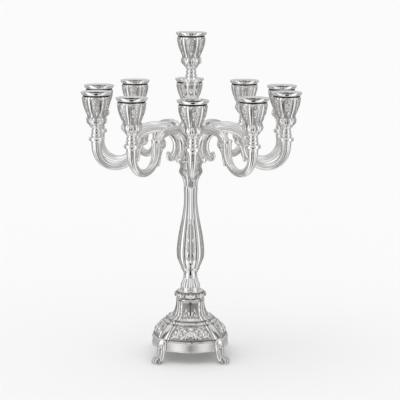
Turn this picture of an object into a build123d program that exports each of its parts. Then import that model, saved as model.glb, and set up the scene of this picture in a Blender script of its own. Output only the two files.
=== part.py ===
"""Eleven-light branched candelabrum: ten S-shaped arms in a ring and one raised centre light.

The origin is on the ground under the stem, +Z is up, and one arm points along -Y, the front.
Every length is in millimetres.
"""

from build123d import *
import os
from math import cos, radians, sin, sqrt, tan

# Driving dimensions
ARM_COUNT = 10
RING_RADIUS = 147.0  # stem axis to the axis of each arm's cup
ARM_RIM_Z = 413.4  # lip of the cups on the arms
CENTRE_RIM_Z = 497.4  # lip of the centre cup
CANDLE_RADIUS = 11.6  # bore that takes a 22 to 23 mm candle
SHEET = 1.4  # wall of the raised sheet-metal shells
ROD_RADIUS = 4.0
ROD_HOLE_RADIUS = 4.2
STUD_RADIUS = 2.5
STUD_HOLE_RADIUS = 2.6

# Candle cup, measured down from its lip
CUP_TOP = 4.8
CUP_DEPTH = 67.2
NECK_BORE_DEPTH = 55.4
# Insert
INSERT_DEPTH = 27.0
INSERT_WALL = 1.0
# Collar under each cup
SOCKET_HEIGHT = 6.2
SOCKET_RADIUS = 11.3
CENTRE_SOCKET_RADIUS = 15.0
SOCKET_ROUNDING = 1.6

# Heights of the stem's pieces
FOOT_TOP = 18.0
PLINTH_TOP = 32.6
DOME_TOP = 89.4
COLLAR_TOP = 105.0
KNOP_TOP = 126.0
BALUSTER_TOP = 264.5
CAPITAL_TOP = 304.0
HUB_TOP = 366.0
HUB_FACE = 20.0  # stem axis to the flat that each arm stands on
COLUMN_TOP = CENTRE_RIM_Z - CUP_DEPTH - SOCKET_HEIGHT

# Arm centreline, in the arm's own plane: distance from the stem axis, height
ARCH_CREST = (50.0, 355.5)
ARCH_RISE_RADIUS = 36.0
ARCH_FALL_RADIUS = 70.0
ARCH_FALL_ANGLE = 18.0
ARCH_TURN_RADIUS = 23.0
ARCH_TUBE = 6.0
LOOP_TUBE_BOTTOM = 5.7
LOOP_TUBE_TOP = 6.8
STEP_TOP_Z = 346.0
STEP_TOP_RADIUS = 7.6
ARM_TOP_Z = ARM_RIM_Z - CUP_DEPTH - SOCKET_HEIGHT
ARM_END_RADIUS = 9.2
SCROLL_WIDTH = 9.0
SCROLL_THICKNESS = 9.0
SCROLL_CENTRE = (48.2, 328.0)
SCROLL_RADIUS = 25.3
SCROLL_START = 112.0  # degrees from outwards, where the bracket leaves the arch
SCROLL_SPAN = 113.0
SCROLL_CURL = (32.8, 312.4)
SCROLL_CURL_RADIUS = 5.4
VOLUTE_CENTRE = (73.5, 338.5)
VOLUTE_RADIUS = 7.0

PARTS_FOLDER = "parts"
CUTTER_WIDTH = 200.0  # wider than any piece that it cuts
BORE_CLEARANCE = 0.6


def save(solid, name):
    """Label a finished piece and write it as its own STEP file."""
    solid.label = name
    export_step(solid, f"{PARTS_FOLDER}/{name}.step")


def around_ring(solid, index):
    """The solid turned from the front arm's place to arm number index."""
    return solid.rotate(Axis.Z, index * 360 / ARM_COUNT)


def turned_shell(stations, wall, bore, end_plate=2.0):
    """A hollow turned body with closed ends that a rod passes through.

    stations are (radius, height) pairs from bottom to top.
    """
    low = stations[0][1]
    high = stations[-1][1]
    with BuildPart() as shell:
        with BuildSketch(Plane.XZ):
            with BuildLine():
                outside = Spline([(r, z) for r, z in stations])
                Polyline(outside @ 1, (0, high), (0, low), outside @ 0)
            make_face()
        revolve(axis=Axis.Z)
        inner_low = low + end_plate
        inner_high = high - end_plate
        least_radius = bore + BORE_CLEARANCE
        with BuildSketch(Plane.XZ):
            with BuildLine():
                inner = Spline([(max(r - wall, least_radius), z) for r, z in stations])
                Polyline(inner @ 1, (0, high), (0, low), inner @ 0)
            make_face()
            with Locations((0, (inner_low + inner_high) / 2)):
                Rectangle(CUTTER_WIDTH, inner_high - inner_low, mode=Mode.INTERSECT)
        revolve(axis=Axis.Z, mode=Mode.SUBTRACT)
        with Locations((0, 0, low)):
            Cylinder(bore, high - low, align=(Align.CENTER, Align.CENTER, Align.MIN), mode=Mode.SUBTRACT)
    return shell.part


def bowed_outline(reach, shoulder, half_face, inset=0.0):
    """A square with bowed sides and chamfered corners, as a flat sketch.

    reach is the middle of a side, shoulder the height of its ends, and half_face half its width.
    """
    reach = reach - inset
    shoulder = shoulder - inset
    half_face = half_face - inset * tan(radians(22.5))
    corners = ((-half_face, -shoulder), (0, -reach), (half_face, -shoulder), (shoulder, -half_face))
    with BuildSketch() as outline:
        with BuildLine():
            for turn in range(4):
                turned = [Vector(*corner).rotate(Axis.Z, 90 * turn) for corner in corners]
                start, middle, end, next_start = turned
                ThreePointArc(start, middle, end)
                Line(end, next_start)
        make_face()
    return outline.sketch


# ---------------------------------------------------------------- base
PLINTH_OUTLINE = (59.0, 50.0, 37.0)
DOME_SECTIONS = [  # height, reach, shoulder, half_face
    (PLINTH_TOP, 57.5, 48.5, 36.0),
    (41.6, 53.6, 45.5, 33.0),
    (48.0, 48.5, 41.5, 29.5),
    (54.4, 41.7, 36.0, 25.0),
    (60.8, 33.0, 29.0, 20.0),
    (67.2, 25.6, 23.0, 16.0),
    (76.0, 22.4, 20.4, 14.6),
    (DOME_TOP, 21.6, 19.6, 14.4),
]
PLINTH_WALL = 2.0
PLINTH_FLANGE = 9.0
PLINTH_FLANGE_HEIGHT = 2.0
DOME_CROWN = 2.0  # thickness of the dome's flat top


def make_plinth():
    """The plain band of the base, with an inward flange at its top."""
    with BuildPart() as plinth:
        with BuildSketch(Plane.XY.offset(FOOT_TOP)):
            add(bowed_outline(*PLINTH_OUTLINE))
        extrude(amount=PLINTH_TOP - FOOT_TOP)
        with BuildSketch(Plane.XY.offset(FOOT_TOP)):
            add(bowed_outline(*PLINTH_OUTLINE, inset=PLINTH_WALL))
        extrude(amount=PLINTH_TOP - FOOT_TOP - PLINTH_FLANGE_HEIGHT, mode=Mode.SUBTRACT)
        with BuildSketch(Plane.XY.offset(FOOT_TOP)):
            add(bowed_outline(*PLINTH_OUTLINE, inset=PLINTH_FLANGE))
        extrude(amount=PLINTH_TOP - FOOT_TOP, mode=Mode.SUBTRACT)
    return plinth.part


def make_dome():
    """The raised body of the base, a hollow loft that is open below."""
    with BuildPart() as dome:
        for z, reach, shoulder, half_face in DOME_SECTIONS:
            with BuildSketch(Plane.XY.offset(z)):
                add(bowed_outline(reach, shoulder, half_face))
        loft()
        cavity = [section for section in DOME_SECTIONS if section[0] < DOME_TOP - DOME_CROWN]
        for z, reach, shoulder, half_face in cavity:
            with BuildSketch(Plane.XY.offset(z)):
                add(bowed_outline(reach, shoulder, half_face, inset=2 * SHEET))
        loft(mode=Mode.SUBTRACT)
        with Locations((0, 0, PLINTH_TOP)):
            Cylinder(
                ROD_HOLE_RADIUS,
                DOME_TOP - PLINTH_TOP,
                align=(Align.CENTER, Align.CENTER, Align.MIN),
                mode=Mode.SUBTRACT,
            )
    return dome.part


COLLAR_SECTIONS = [  # height, reach, shoulder, half_face
    (DOME_TOP, 22.0, 20.0, 14.6),
    (96.6, 24.6, 22.6, 15.6),
    (101.8, 21.0, 19.4, 13.4),
    (COLLAR_TOP, 14.8, 14.0, 9.0),
]


def make_collar():
    """The moulded flange that caps the dome."""
    with BuildPart() as collar:
        for z, reach, shoulder, half_face in COLLAR_SECTIONS:
            with BuildSketch(Plane.XY.offset(z)):
                add(bowed_outline(reach, shoulder, half_face))
        loft(ruled=True)
        with Locations((0, 0, COLLAR_TOP)):
            Hole(ROD_HOLE_RADIUS, COLLAR_TOP - DOME_TOP)
    return collar.part


FOOT_WIDTH = 11.0
KNEE_DIAGONAL = 61.5  # stem axis to the flat of a chamfered corner
KNEE_TOP = PLINTH_TOP - 2.0
FOOT_TURNS = {"front_left": 225, "front_right": 315, "back_right": 45, "back_left": 135}


def make_foot():
    """One scroll foot on the +X side: a knee on the corner, an ankle and a rolled toe."""
    knee = KNEE_DIAGONAL
    with BuildPart() as foot:
        with BuildSketch(Plane.XZ.offset(-FOOT_WIDTH / 2)):
            with BuildLine():
                front = Spline(
                    [(knee + 2.4, KNEE_TOP), (knee + 3.2, 22.0), (knee + 0.2, 11.0), (knee + 3.0, 6.2)]
                )
                toe = Spline([front @ 1, (knee + 6, 5.4), (knee + 9.5, 6.8), (knee + 12.4, 4.0)])
                toe_end = Spline([toe @ 1, (knee + 11.8, 1.2), (knee + 9.0, 0.0)])
                sole = Line(toe_end @ 1, (knee + 4.5, 0.0))
                back = Spline([sole @ 1, (knee - 1.0, 1.8), (knee - 5.0, 8.0), (knee - 6.5, FOOT_TOP)])
                Polyline(back @ 1, (knee + 0.02, FOOT_TOP), (knee + 0.02, KNEE_TOP), front @ 0)
            make_face()
        extrude(amount=FOOT_WIDTH)
    return foot.part


ANCHOR_WIDTH = 22.0
ANCHOR_LENGTH = 106.0
ANCHOR_THICKNESS = 2.6
ANCHOR_CORNER = 3.0
ANCHOR_TOP = PLINTH_TOP - PLINTH_FLANGE_HEIGHT


def make_anchor_plate():
    """A bridge under the plinth's flange that the lower nut pulls up against."""
    with BuildPart() as plate:
        with Locations((0, 0, ANCHOR_TOP)):
            Box(ANCHOR_WIDTH, ANCHOR_LENGTH, ANCHOR_THICKNESS, align=(Align.CENTER, Align.CENTER, Align.MAX))
        fillet(plate.edges().filter_by(Axis.Z), ANCHOR_CORNER)
        with Locations((0, 0, ANCHOR_TOP)):
            Hole(ROD_HOLE_RADIUS, ANCHOR_THICKNESS)
    return plate.part


# ---------------------------------------------------------------- stem
KNOP_STATIONS = [(14.4, COLLAR_TOP), (14.2, 109.0), (12.4, 114.5), (10.6, 120.0), (10.2, KNOP_TOP)]
BALUSTER_STATIONS = [
    (10.2, KNOP_TOP),
    (12.4, 133.5),
    (17.2, 146.0),
    (20.1, 156.5),
    (20.4, 165.0),
    (18.2, 187.0),
    (14.8, 204.0),
    (11.4, 221.0),
    (9.5, 237.0),
    (9.3, 250.0),
    (10.0, BALUSTER_TOP),
]
CAPITAL_STATIONS = [
    (10.0, BALUSTER_TOP),
    (11.6, 274.0),
    (16.6, 285.0),
    (16.8, 289.5),
    (15.6, 294.5),
    (19.0, CAPITAL_TOP),
]
COLUMN_STATIONS = [
    (13.5, HUB_TOP),
    (11.0, 372.0),
    (9.0, 380.0),
    (8.6, 392.0),
    (9.4, 406.0),
    (11.0, 417.0),
    (13.8, COLUMN_TOP),
]
HUB_SHOULDER_LOW = 322.0
HUB_SHOULDER_HIGH = 352.0
HUB_FOOT_RADIUS = 19.0
HUB_WALL = 6.0


def make_hub():
    """The ten-sided body that the arms stand on, with a turned neck above and below."""
    corner = HUB_FACE / cos(radians(180 / ARM_COUNT))
    with BuildPart() as hub:
        with BuildSketch(Plane.XY.offset(HUB_SHOULDER_LOW)):
            RegularPolygon(corner, ARM_COUNT, rotation=90 + 180 / ARM_COUNT)
        extrude(amount=HUB_SHOULDER_HIGH - HUB_SHOULDER_LOW)
        with BuildSketch(Plane.XZ):
            with BuildLine():
                Polyline(
                    (0, CAPITAL_TOP),
                    (HUB_FOOT_RADIUS, CAPITAL_TOP),
                    (HUB_FACE, CAPITAL_TOP + 4),
                    (HUB_FOOT_RADIUS, HUB_SHOULDER_LOW),
                    (0, HUB_SHOULDER_LOW),
                    close=True,
                )
            make_face()
            with BuildLine():
                neck = Spline([(HUB_FACE, HUB_SHOULDER_HIGH), (17.5, 358.5), (13.5, HUB_TOP)])
                Polyline(neck @ 1, (0, HUB_TOP), (0, HUB_SHOULDER_HIGH), neck @ 0)
            make_face()
        revolve(axis=Axis.Z)
        with BuildSketch(Plane.XY.offset(CAPITAL_TOP + 2)):
            Circle(HUB_FACE - HUB_WALL)
        extrude(amount=HUB_TOP - CAPITAL_TOP - HUB_WALL, mode=Mode.SUBTRACT)
        with Locations((0, 0, HUB_TOP)):
            Hole(ROD_HOLE_RADIUS, HUB_TOP - CAPITAL_TOP)
    return hub.part


ROD_BOTTOM = 20.0
STUD_LENGTH = 22.0
NUT_ACROSS_FLATS = 13.0
NUT_HEIGHT = 6.5
THREAD_CLEARANCE = 0.03


def make_tie_rod():
    """The long rod that clamps the whole stem together, stepped down where the centre cup screws on."""
    shoulder_z = COLUMN_TOP + SOCKET_HEIGHT
    with BuildPart() as rod:
        with Locations((0, 0, ROD_BOTTOM)):
            Cylinder(ROD_RADIUS, shoulder_z - ROD_BOTTOM, align=(Align.CENTER, Align.CENTER, Align.MIN))
        with Locations((0, 0, shoulder_z)):
            Cylinder(STUD_RADIUS, STUD_LENGTH / 2, align=(Align.CENTER, Align.CENTER, Align.MIN))
        chamfer(rod.edges().group_by(Axis.Z)[0], 0.6)
        chamfer(rod.edges().group_by(Axis.Z)[-1], 0.4)
    return rod.part


def make_rod_nut():
    """The hexagon nut under the anchor plate."""
    plate_bottom = ANCHOR_TOP - ANCHOR_THICKNESS
    with BuildPart() as nut:
        with BuildSketch(Plane.XY.offset(plate_bottom - NUT_HEIGHT)):
            RegularPolygon(NUT_ACROSS_FLATS / sqrt(3), 6)
            Circle(ROD_RADIUS + THREAD_CLEARANCE, mode=Mode.SUBTRACT)
        extrude(amount=NUT_HEIGHT)
    return nut.part


# ---------------------------------------------------------------- lights
CUP_OUTSIDE = [  # radius, distance below the lip
    (20.6, CUP_TOP),
    (20.4, 11.0),
    (19.2, 17.6),
    (16.6, 26.4),
    (14.0, 32.8),
    (13.2, 36.6),
    (15.2, 42.8),
    (13.8, 47.6),
    (9.8, 51.8),
]
NECK_OUTSIDE = [(7.8, 54.2), (8.9, 57.6), (7.8, 61.2), (8.4, 64.6), (9.4, CUP_DEPTH)]
CUP_WALL_STATIONS = 6  # the hollow follows the outside down to the waist


def make_cup():
    """A candle cup with its lip level at z = 0: neck, lobed knop and flared body, hollow above."""
    with BuildPart() as cup:
        with BuildSketch(Plane.XZ):
            with BuildLine():
                body = Spline([(r, -d) for r, d in CUP_OUTSIDE])
                neck = Spline([(r, -d) for r, d in NECK_OUTSIDE])
                Line(body @ 1, neck @ 0)
                Polyline(neck @ 1, (0, -CUP_DEPTH), (0, -CUP_TOP), body @ 0)
            make_face()
        revolve(axis=Axis.Z)
        with BuildSketch(Plane.XZ):
            with BuildLine():
                wall = Spline([(r - SHEET, -d) for r, d in CUP_OUTSIDE[:CUP_WALL_STATIONS]])
                Polyline(wall @ 1, (0, (wall @ 1).Y), (0, -CUP_TOP), wall @ 0)
            make_face()
        revolve(axis=Axis.Z, mode=Mode.SUBTRACT)
        with Locations((0, 0, -CUP_DEPTH)):
            Cylinder(
                STUD_HOLE_RADIUS,
                CUP_DEPTH - NECK_BORE_DEPTH,
                align=(Align.CENTER, Align.CENTER, Align.MIN),
                mode=Mode.SUBTRACT,
            )
    return cup.part


INSERT_LIP = [  # radius, distance below the lip, from the candle bore out and round the rim
    (CANDLE_RADIUS, 1.6),
    (13.0, 1.2),
    (21.8, 0.0),
    (22.7, 0.5),
    (22.8, 1.4),
    (21.2, 4.2),
    (20.6, CUP_TOP - 0.2),
    (17.6, CUP_TOP - 0.2),
    (CANDLE_RADIUS + INSERT_WALL, 3.4),
]


def make_insert():
    """The removable candle insert: a polished lip and a closed tube, lip level at z = 0."""
    with BuildPart() as insert:
        with BuildSketch(Plane.XZ):
            with BuildLine():
                Polyline(
                    *[(r, -d) for r, d in INSERT_LIP],
                    (CANDLE_RADIUS + INSERT_WALL, -INSERT_DEPTH),
                    (0, -INSERT_DEPTH),
                    (0, -INSERT_DEPTH + INSERT_WALL),
                    (CANDLE_RADIUS, -INSERT_DEPTH + INSERT_WALL),
                    close=True,
                )
            make_face()
        revolve(axis=Axis.Z)
    return insert.part


def make_socket(radius, hole_radius):
    """The round collar under a cup, standing on z = 0."""
    with BuildPart() as socket:
        Cylinder(radius, SOCKET_HEIGHT, align=(Align.CENTER, Align.CENTER, Align.MIN))
        fillet(socket.edges().filter_by(GeomType.CIRCLE), SOCKET_ROUNDING)
        with Locations((0, 0, SOCKET_HEIGHT)):
            Hole(hole_radius, SOCKET_HEIGHT)
    return socket.part


def make_stud():
    """The threaded stud that holds a cup, half below and half above z = 0."""
    with BuildPart() as stud:
        Cylinder(STUD_RADIUS, STUD_LENGTH)
        chamfer(stud.edges().filter_by(GeomType.CIRCLE), 0.4)
    return stud.part


# ---------------------------------------------------------------- arm
def make_arm():
    """One arm, pointing along -Y: rising arch, scroll bracket, stepped joint and hanging loop."""
    side = Plane(origin=(0, 0, 0), x_dir=(0, -1, 0), z_dir=(-1, 0, 0))
    crest_x, crest_z = ARCH_CREST
    rise_centre_z = crest_z - ARCH_RISE_RADIUS
    inside_hub_x = HUB_FACE - HUB_WALL
    inside_hub_z = rise_centre_z + sqrt(ARCH_RISE_RADIUS**2 - (crest_x - inside_hub_x) ** 2)
    fall = radians(ARCH_FALL_ANGLE)
    fall_end = (crest_x + ARCH_FALL_RADIUS * sin(fall), crest_z - ARCH_FALL_RADIUS * (1 - cos(fall)))
    loop_start = (
        fall_end[0] + ARCH_TURN_RADIUS * (1 - sin(fall)),
        fall_end[1] - ARCH_TURN_RADIUS * cos(fall),
    )
    loop_radius = (RING_RADIUS - loop_start[0]) / 2
    loop_bottom = (loop_start[0] + loop_radius, loop_start[1] - loop_radius)
    loop_end = (RING_RADIUS, loop_start[1])
    with BuildPart() as arm:
        # Arch
        rise_middle_x = (inside_hub_x + crest_x) / 2
        rise_middle_z = rise_centre_z + sqrt(ARCH_RISE_RADIUS**2 - (crest_x - rise_middle_x) ** 2)
        with BuildLine(side) as arch:
            rise = ThreePointArc((inside_hub_x, inside_hub_z), (rise_middle_x, rise_middle_z), ARCH_CREST)
            JernArc(start=ARCH_CREST, tangent=(1, 0), radius=ARCH_FALL_RADIUS, arc_size=-ARCH_FALL_ANGLE)
            JernArc(
                start=fall_end,
                tangent=(cos(fall), -sin(fall)),
                radius=ARCH_TURN_RADIUS,
                arc_size=ARCH_FALL_ANGLE - 90,
            )
        with BuildSketch(Plane(origin=rise @ 0, z_dir=rise % 0)):
            Circle(ARCH_TUBE)
        sweep(path=arch.wires()[0])
        # Loop
        with BuildLine(side) as loop:
            bow = ThreePointArc(loop_start, loop_bottom, loop_end)
        for place, radius in ((0, LOOP_TUBE_TOP), (0.5, LOOP_TUBE_BOTTOM), (1, LOOP_TUBE_TOP + 0.8)):
            with BuildSketch(Plane(origin=bow @ place, z_dir=bow % place)):
                Circle(radius)
        sweep(path=loop.wires()[0], multisection=True)
        # Flat-topped step where the arch lands, and the flared end under the socket
        for spot, top, low_radius, high_radius in (
            (loop_start, STEP_TOP_Z, LOOP_TUBE_TOP, STEP_TOP_RADIUS),
            (loop_end, ARM_TOP_Z, LOOP_TUBE_TOP + 0.8, ARM_END_RADIUS),
        ):
            with Locations((0, -spot[0], spot[1])):
                Cone(low_radius, high_radius, top - spot[1], align=(Align.CENTER, Align.CENTER, Align.MIN))
        # Scroll bracket beside the hub
        with BuildSketch(side):
            with BuildLine():
                outer_radius = SCROLL_RADIUS + SCROLL_THICKNESS / 2
                inner_radius = SCROLL_RADIUS - SCROLL_THICKNESS / 2
                outer = CenterArc(SCROLL_CENTRE, outer_radius, SCROLL_START, SCROLL_SPAN)
                inner = CenterArc(SCROLL_CENTRE, inner_radius, SCROLL_START, SCROLL_SPAN)
                Line(outer @ 0, inner @ 0)
                Line(outer @ 1, inner @ 1)
            make_face()
            with Locations(SCROLL_CURL):
                Circle(SCROLL_CURL_RADIUS)
        extrude(amount=SCROLL_WIDTH / 2, both=True)
        # Volute on the hub side of the step
        with BuildSketch(side):
            with Locations(VOLUTE_CENTRE):
                Circle(VOLUTE_RADIUS)
            with BuildLine():
                x, z = VOLUTE_CENTRE
                Polyline(
                    (x - VOLUTE_RADIUS, z),
                    (x + 2, z + VOLUTE_RADIUS),
                    (loop_start[0], z + 4),
                    (loop_start[0] + 1, loop_start[1] - 8),
                    close=True,
                )
            make_face()
        extrude(amount=SCROLL_WIDTH / 2, both=True)
        # Flat root against the hub, and the threaded hole for the cup's stud
        Box(CUTTER_WIDTH, 2 * HUB_FACE, 2 * CENTRE_RIM_Z, mode=Mode.SUBTRACT)
        with Locations((0, -RING_RADIUS, ARM_TOP_Z)):
            Cylinder(
                STUD_HOLE_RADIUS,
                STUD_LENGTH / 2 + 1,
                align=(Align.CENTER, Align.CENTER, Align.MAX),
                mode=Mode.SUBTRACT,
            )
    return arm.part


def gather(solids):
    """Several separate solids as one node."""
    return Compound(children=list(solids))


def main():
    """Build every piece and write it to the parts folder."""
    os.makedirs(PARTS_FOLDER, exist_ok=True)
    save(make_plinth(), "base_plinth")
    save(make_dome(), "base_dome")
    save(make_collar(), "base_collar")
    save(make_anchor_plate(), "anchor_plate")
    foot = make_foot()
    for name, turn in FOOT_TURNS.items():
        save(foot.rotate(Axis.Z, turn), f"foot_{name}")
    save(turned_shell(KNOP_STATIONS, SHEET, ROD_HOLE_RADIUS), "stem_knop")
    save(turned_shell(BALUSTER_STATIONS, SHEET, ROD_HOLE_RADIUS), "stem_baluster")
    save(turned_shell(CAPITAL_STATIONS, SHEET, ROD_HOLE_RADIUS), "stem_capital")
    save(make_hub(), "branch_hub")
    save(turned_shell(COLUMN_STATIONS, SHEET, ROD_HOLE_RADIUS), "centre_column")
    save(make_tie_rod(), "tie_rod")
    save(make_rod_nut(), "tie_rod_nut")

    arm = make_arm()
    for index in range(ARM_COUNT):
        save(around_ring(arm, index), f"arm_{index + 1:02d}")

    # The eleven lights: number 00 stands on the centre column, 01 to 10 on the arms
    cup = make_cup()
    insert = make_insert()
    stud = make_stud()
    arm_socket = make_socket(SOCKET_RADIUS, STUD_HOLE_RADIUS)
    centre_socket = make_socket(CENTRE_SOCKET_RADIUS, ROD_HOLE_RADIUS)
    studs = []
    for number in range(ARM_COUNT + 1):
        rim_z = ARM_RIM_Z if number else CENTRE_RIM_Z
        place = Pos(0, -RING_RADIUS if number else 0, rim_z)
        turn = max(number - 1, 0)
        save(around_ring(place * cup, turn), f"cup_{number:02d}")
        save(around_ring(place * insert, turn), f"insert_{number:02d}")
        socket = arm_socket if number else centre_socket
        socket_place = place * Pos(0, 0, -CUP_DEPTH - SOCKET_HEIGHT)
        save(around_ring(socket_place * socket, turn), f"socket_{number:02d}")
        if number:
            studs.append(around_ring(place * Pos(0, 0, -CUP_DEPTH) * stud, turn))
    save(gather(studs), "cup_studs")


main()
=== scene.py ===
"""A polished silver branched candelabrum: ten S-shaped arms in a ring round a raised centre light.

Sizes are in millimetres in the dataclass fields and turn into metres where a mesh is made.  The origin
is on the ground under the stem, +Z is up and the first arm points along -Y, the front.
"""

import logging
import math
from collections.abc import Callable
from dataclasses import dataclass, field, replace
from enum import Enum

import bpy
import numpy as np
from mathutils import Matrix, Vector


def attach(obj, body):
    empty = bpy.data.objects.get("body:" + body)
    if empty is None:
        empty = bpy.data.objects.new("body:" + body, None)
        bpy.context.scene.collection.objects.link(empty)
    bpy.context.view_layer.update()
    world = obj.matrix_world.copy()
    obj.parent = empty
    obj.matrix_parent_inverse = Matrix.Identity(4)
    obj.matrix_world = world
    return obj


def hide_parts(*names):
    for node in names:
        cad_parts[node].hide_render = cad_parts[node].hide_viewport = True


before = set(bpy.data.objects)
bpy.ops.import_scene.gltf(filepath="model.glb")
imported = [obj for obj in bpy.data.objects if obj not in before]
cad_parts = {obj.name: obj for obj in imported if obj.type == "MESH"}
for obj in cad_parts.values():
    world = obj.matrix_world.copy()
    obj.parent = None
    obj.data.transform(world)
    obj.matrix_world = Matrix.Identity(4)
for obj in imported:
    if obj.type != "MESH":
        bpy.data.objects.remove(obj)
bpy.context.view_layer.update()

MM = 0.001
ARM_COUNT = 10
ARM_STEP = 360 / ARM_COUNT
STAND = "stand"
NO_RELIEF = 1e-6
LEAST_SHARE = 0.002

log = logging.getLogger("candelabrum")

Point = tuple[float, float]
Array = np.ndarray


# ------------------------------------------------------------------ modelling tools
def start_clean() -> None:
    """Leaves edit mode and deselects everything."""
    if bpy.context.object is not None and bpy.context.object.mode != "OBJECT":
        bpy.ops.object.mode_set(mode="OBJECT")
    bpy.ops.object.select_all(action="DESELECT")


def select_only(piece: bpy.types.Object) -> None:
    """Makes one object the active and only selected one."""
    start_clean()
    piece.select_set(True)
    bpy.context.view_layer.objects.active = piece


def edit_all(piece: bpy.types.Object) -> None:
    """Enters edit mode on a piece with its whole mesh selected."""
    select_only(piece)
    bpy.ops.object.mode_set(mode="EDIT")
    bpy.ops.mesh.select_all(action="SELECT")


def close_shape(piece: bpy.types.Object) -> None:
    """Merges doubled points, turns the faces outwards and leaves edit mode."""
    bpy.ops.mesh.select_all(action="SELECT")
    bpy.ops.mesh.remove_doubles(threshold=0.004 * MM)
    bpy.ops.mesh.normals_make_consistent(inside=False)
    bpy.ops.object.mode_set(mode="OBJECT")


def smooth_shading(piece: bpy.types.Object, crease_degrees: float = 38.0) -> None:
    """Shades a piece smooth, keeping the creases that are sharper than the angle."""
    select_only(piece)
    bpy.ops.object.shade_smooth_by_angle(angle=math.radians(crease_degrees))


def settle(piece: bpy.types.Object) -> None:
    """Moves a piece's place, turn and size into its mesh."""
    select_only(piece)
    bpy.ops.object.transform_apply(location=True, rotation=True, scale=True)


def join(pieces: list[bpy.types.Object], name: str) -> bpy.types.Object:
    """Joins several pieces into the first of them.

    Args:
        pieces: The objects to join.
        name: The name of the joined object.

    Returns:
        The joined object.
    """
    start_clean()
    for piece in pieces:
        piece.select_set(True)
    bpy.context.view_layer.objects.active = pieces[0]
    bpy.ops.object.join()
    pieces[0].name = pieces[0].data.name = name
    return pieces[0]


def placed_copy(piece: bpy.types.Object, name: str, turn: float, place: Vector) -> bpy.types.Object:
    """Copies a piece with its own mesh, turned about its own upright axis and then moved.

    Args:
        piece: The object to copy.
        name: The copy's name.
        turn: The turn in degrees, anticlockwise seen from above.
        place: Where the copy's origin goes, in millimetres.

    Returns:
        The copy, with its place in its mesh.
    """
    copy = piece.copy()
    copy.data = piece.data.copy()
    copy.name = copy.data.name = name
    bpy.context.scene.collection.objects.link(copy)
    copy.rotation_euler.z = math.radians(turn)
    copy.location = place * MM
    settle(copy)
    return copy


def discard(piece: bpy.types.Object) -> None:
    """Removes a pattern piece that has been copied."""
    bpy.data.objects.remove(piece, do_unlink=True)


def points_of(piece: bpy.types.Object) -> Array:
    """The mesh's points, in millimetres, one row each."""
    flat = np.empty(len(piece.data.vertices) * 3)
    piece.data.vertices.foreach_get("co", flat)
    return flat.reshape(-1, 3) / MM


def move_points(piece: bpy.types.Object, points: Array) -> None:
    """Puts the mesh's points, given in millimetres, where they are told."""
    piece.data.vertices.foreach_set("co", (points * MM).ravel())
    piece.data.update()


def paint(piece: bpy.types.Object, name: str, values: Array) -> None:
    """Stores a value from 0 to 1 at each point, for the material to read."""
    layer = piece.data.attributes.get(name) or piece.data.attributes.new(name, "FLOAT", "POINT")
    layer.data.foreach_set("value", np.clip(values, 0, 1).astype(np.float32))


def chase(piece: bpy.types.Object, heights: Array) -> None:
    """Raises or sinks the surface along its normals, as a chaser's punches do.

    Args:
        piece: The piece to work.
        heights: One height in millimetres for each point.
    """
    select_only(piece)
    for strength in (float(heights.max()), float(heights.min())):
        if abs(strength) <= NO_RELIEF:
            continue
        shares = np.clip(heights / strength, 0, 1)
        group = piece.vertex_groups.new(name="chasing")
        for index in np.flatnonzero(shares > LEAST_SHARE).tolist():
            group.add([index], float(shares[index]), "REPLACE")
        push = piece.modifiers.new("push", "DISPLACE")
        push.vertex_group = "chasing"
        push.mid_level = 0.0
        push.strength = strength * MM
        bpy.ops.object.modifier_apply(modifier="push")
        piece.vertex_groups.clear()


def between(values: Array, low: float, high: float, soft: float) -> Array:
    """A window: 1 between low and high, easing to 0 over the soft distance outside them."""
    rise = np.clip((values - low) / soft + 1, 0, 1)
    fall = np.clip((high - values) / soft + 1, 0, 1)
    window = np.minimum(rise, fall)
    return window * window * (3 - 2 * window)


def ridge(distance: Array, width: float) -> Array:
    """A rounded ridge of height 1 where the distance is 0."""
    return np.exp(-((distance / width) ** 2))


def folded(angle: Array, period: float, offset: float = 0.0) -> Array:
    """The angle from the nearest of several evenly spaced directions."""
    return (angle - offset + period / 2) % period - period / 2


def arc(angle: Array, radius: Array | float) -> Array:
    """How far an angle in degrees reaches round a circle."""
    return angle * np.pi / 180 * radius


def lobed(angle: Array, pairs: int) -> Array:
    """Lobes round a body, two for each pair: 1 on their crowns and 0 between them."""
    return np.abs(np.cos(np.radians(angle) * pairs))


def round_top(offset: Array) -> Array:
    """A half round: 1 where the offset is 0, falling to 0 where it is 1 on either side."""
    return np.sqrt(np.clip(1 - offset**2, 0, 1))


def bare(relief: Array, depth: float) -> Array:
    """1 where there is no relief, falling to 0 where it is as high as the depth."""
    return 1 - np.clip(relief / depth, 0, 1)


# ------------------------------------------------------------------ profiles and turned bodies
def curve_at(before: float, start: float, end: float, after: float, t: float) -> float:
    """One coordinate of the smooth curve from start to end, a share t of the way."""
    bend = 2 * before - 5 * start + 4 * end - after
    twist = 3 * start - before - 3 * end + after
    return 0.5 * (2 * start + (end - before) * t + bend * t**2 + twist * t**3)


def smooth_run(points: list[Point], spacing: float) -> list[Point]:
    """A smooth line through the points.

    Args:
        points: The points that the line passes, in order.
        spacing: The length of one step.

    Returns:
        The line's own points.
    """
    line = [points[0]]
    padded = [points[0], *points, points[-1]]
    for four in zip(padded, padded[1:], padded[2:], padded[3:]):
        steps = max(1, round(math.dist(four[1], four[2]) / spacing))
        for step in range(1, steps + 1):
            line.append(tuple(curve_at(*values, step / steps) for values in zip(*four)))
    return line


def profile(runs: list[list[Point]], spacing: float) -> list[Point]:
    """Joins smooth runs with a corner between each and the next."""
    line = [runs[0][0]]
    for run in runs:
        line.extend(smooth_run(run, spacing)[1:])
    return line


@dataclass(frozen=True)
class Survey:
    """Where each point of a turned piece lies.

    Angles are in degrees from the front, anticlockwise from above; run is the way along the profile.
    """

    angle: Array
    radius: Array
    height: Array
    run: Array


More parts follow.
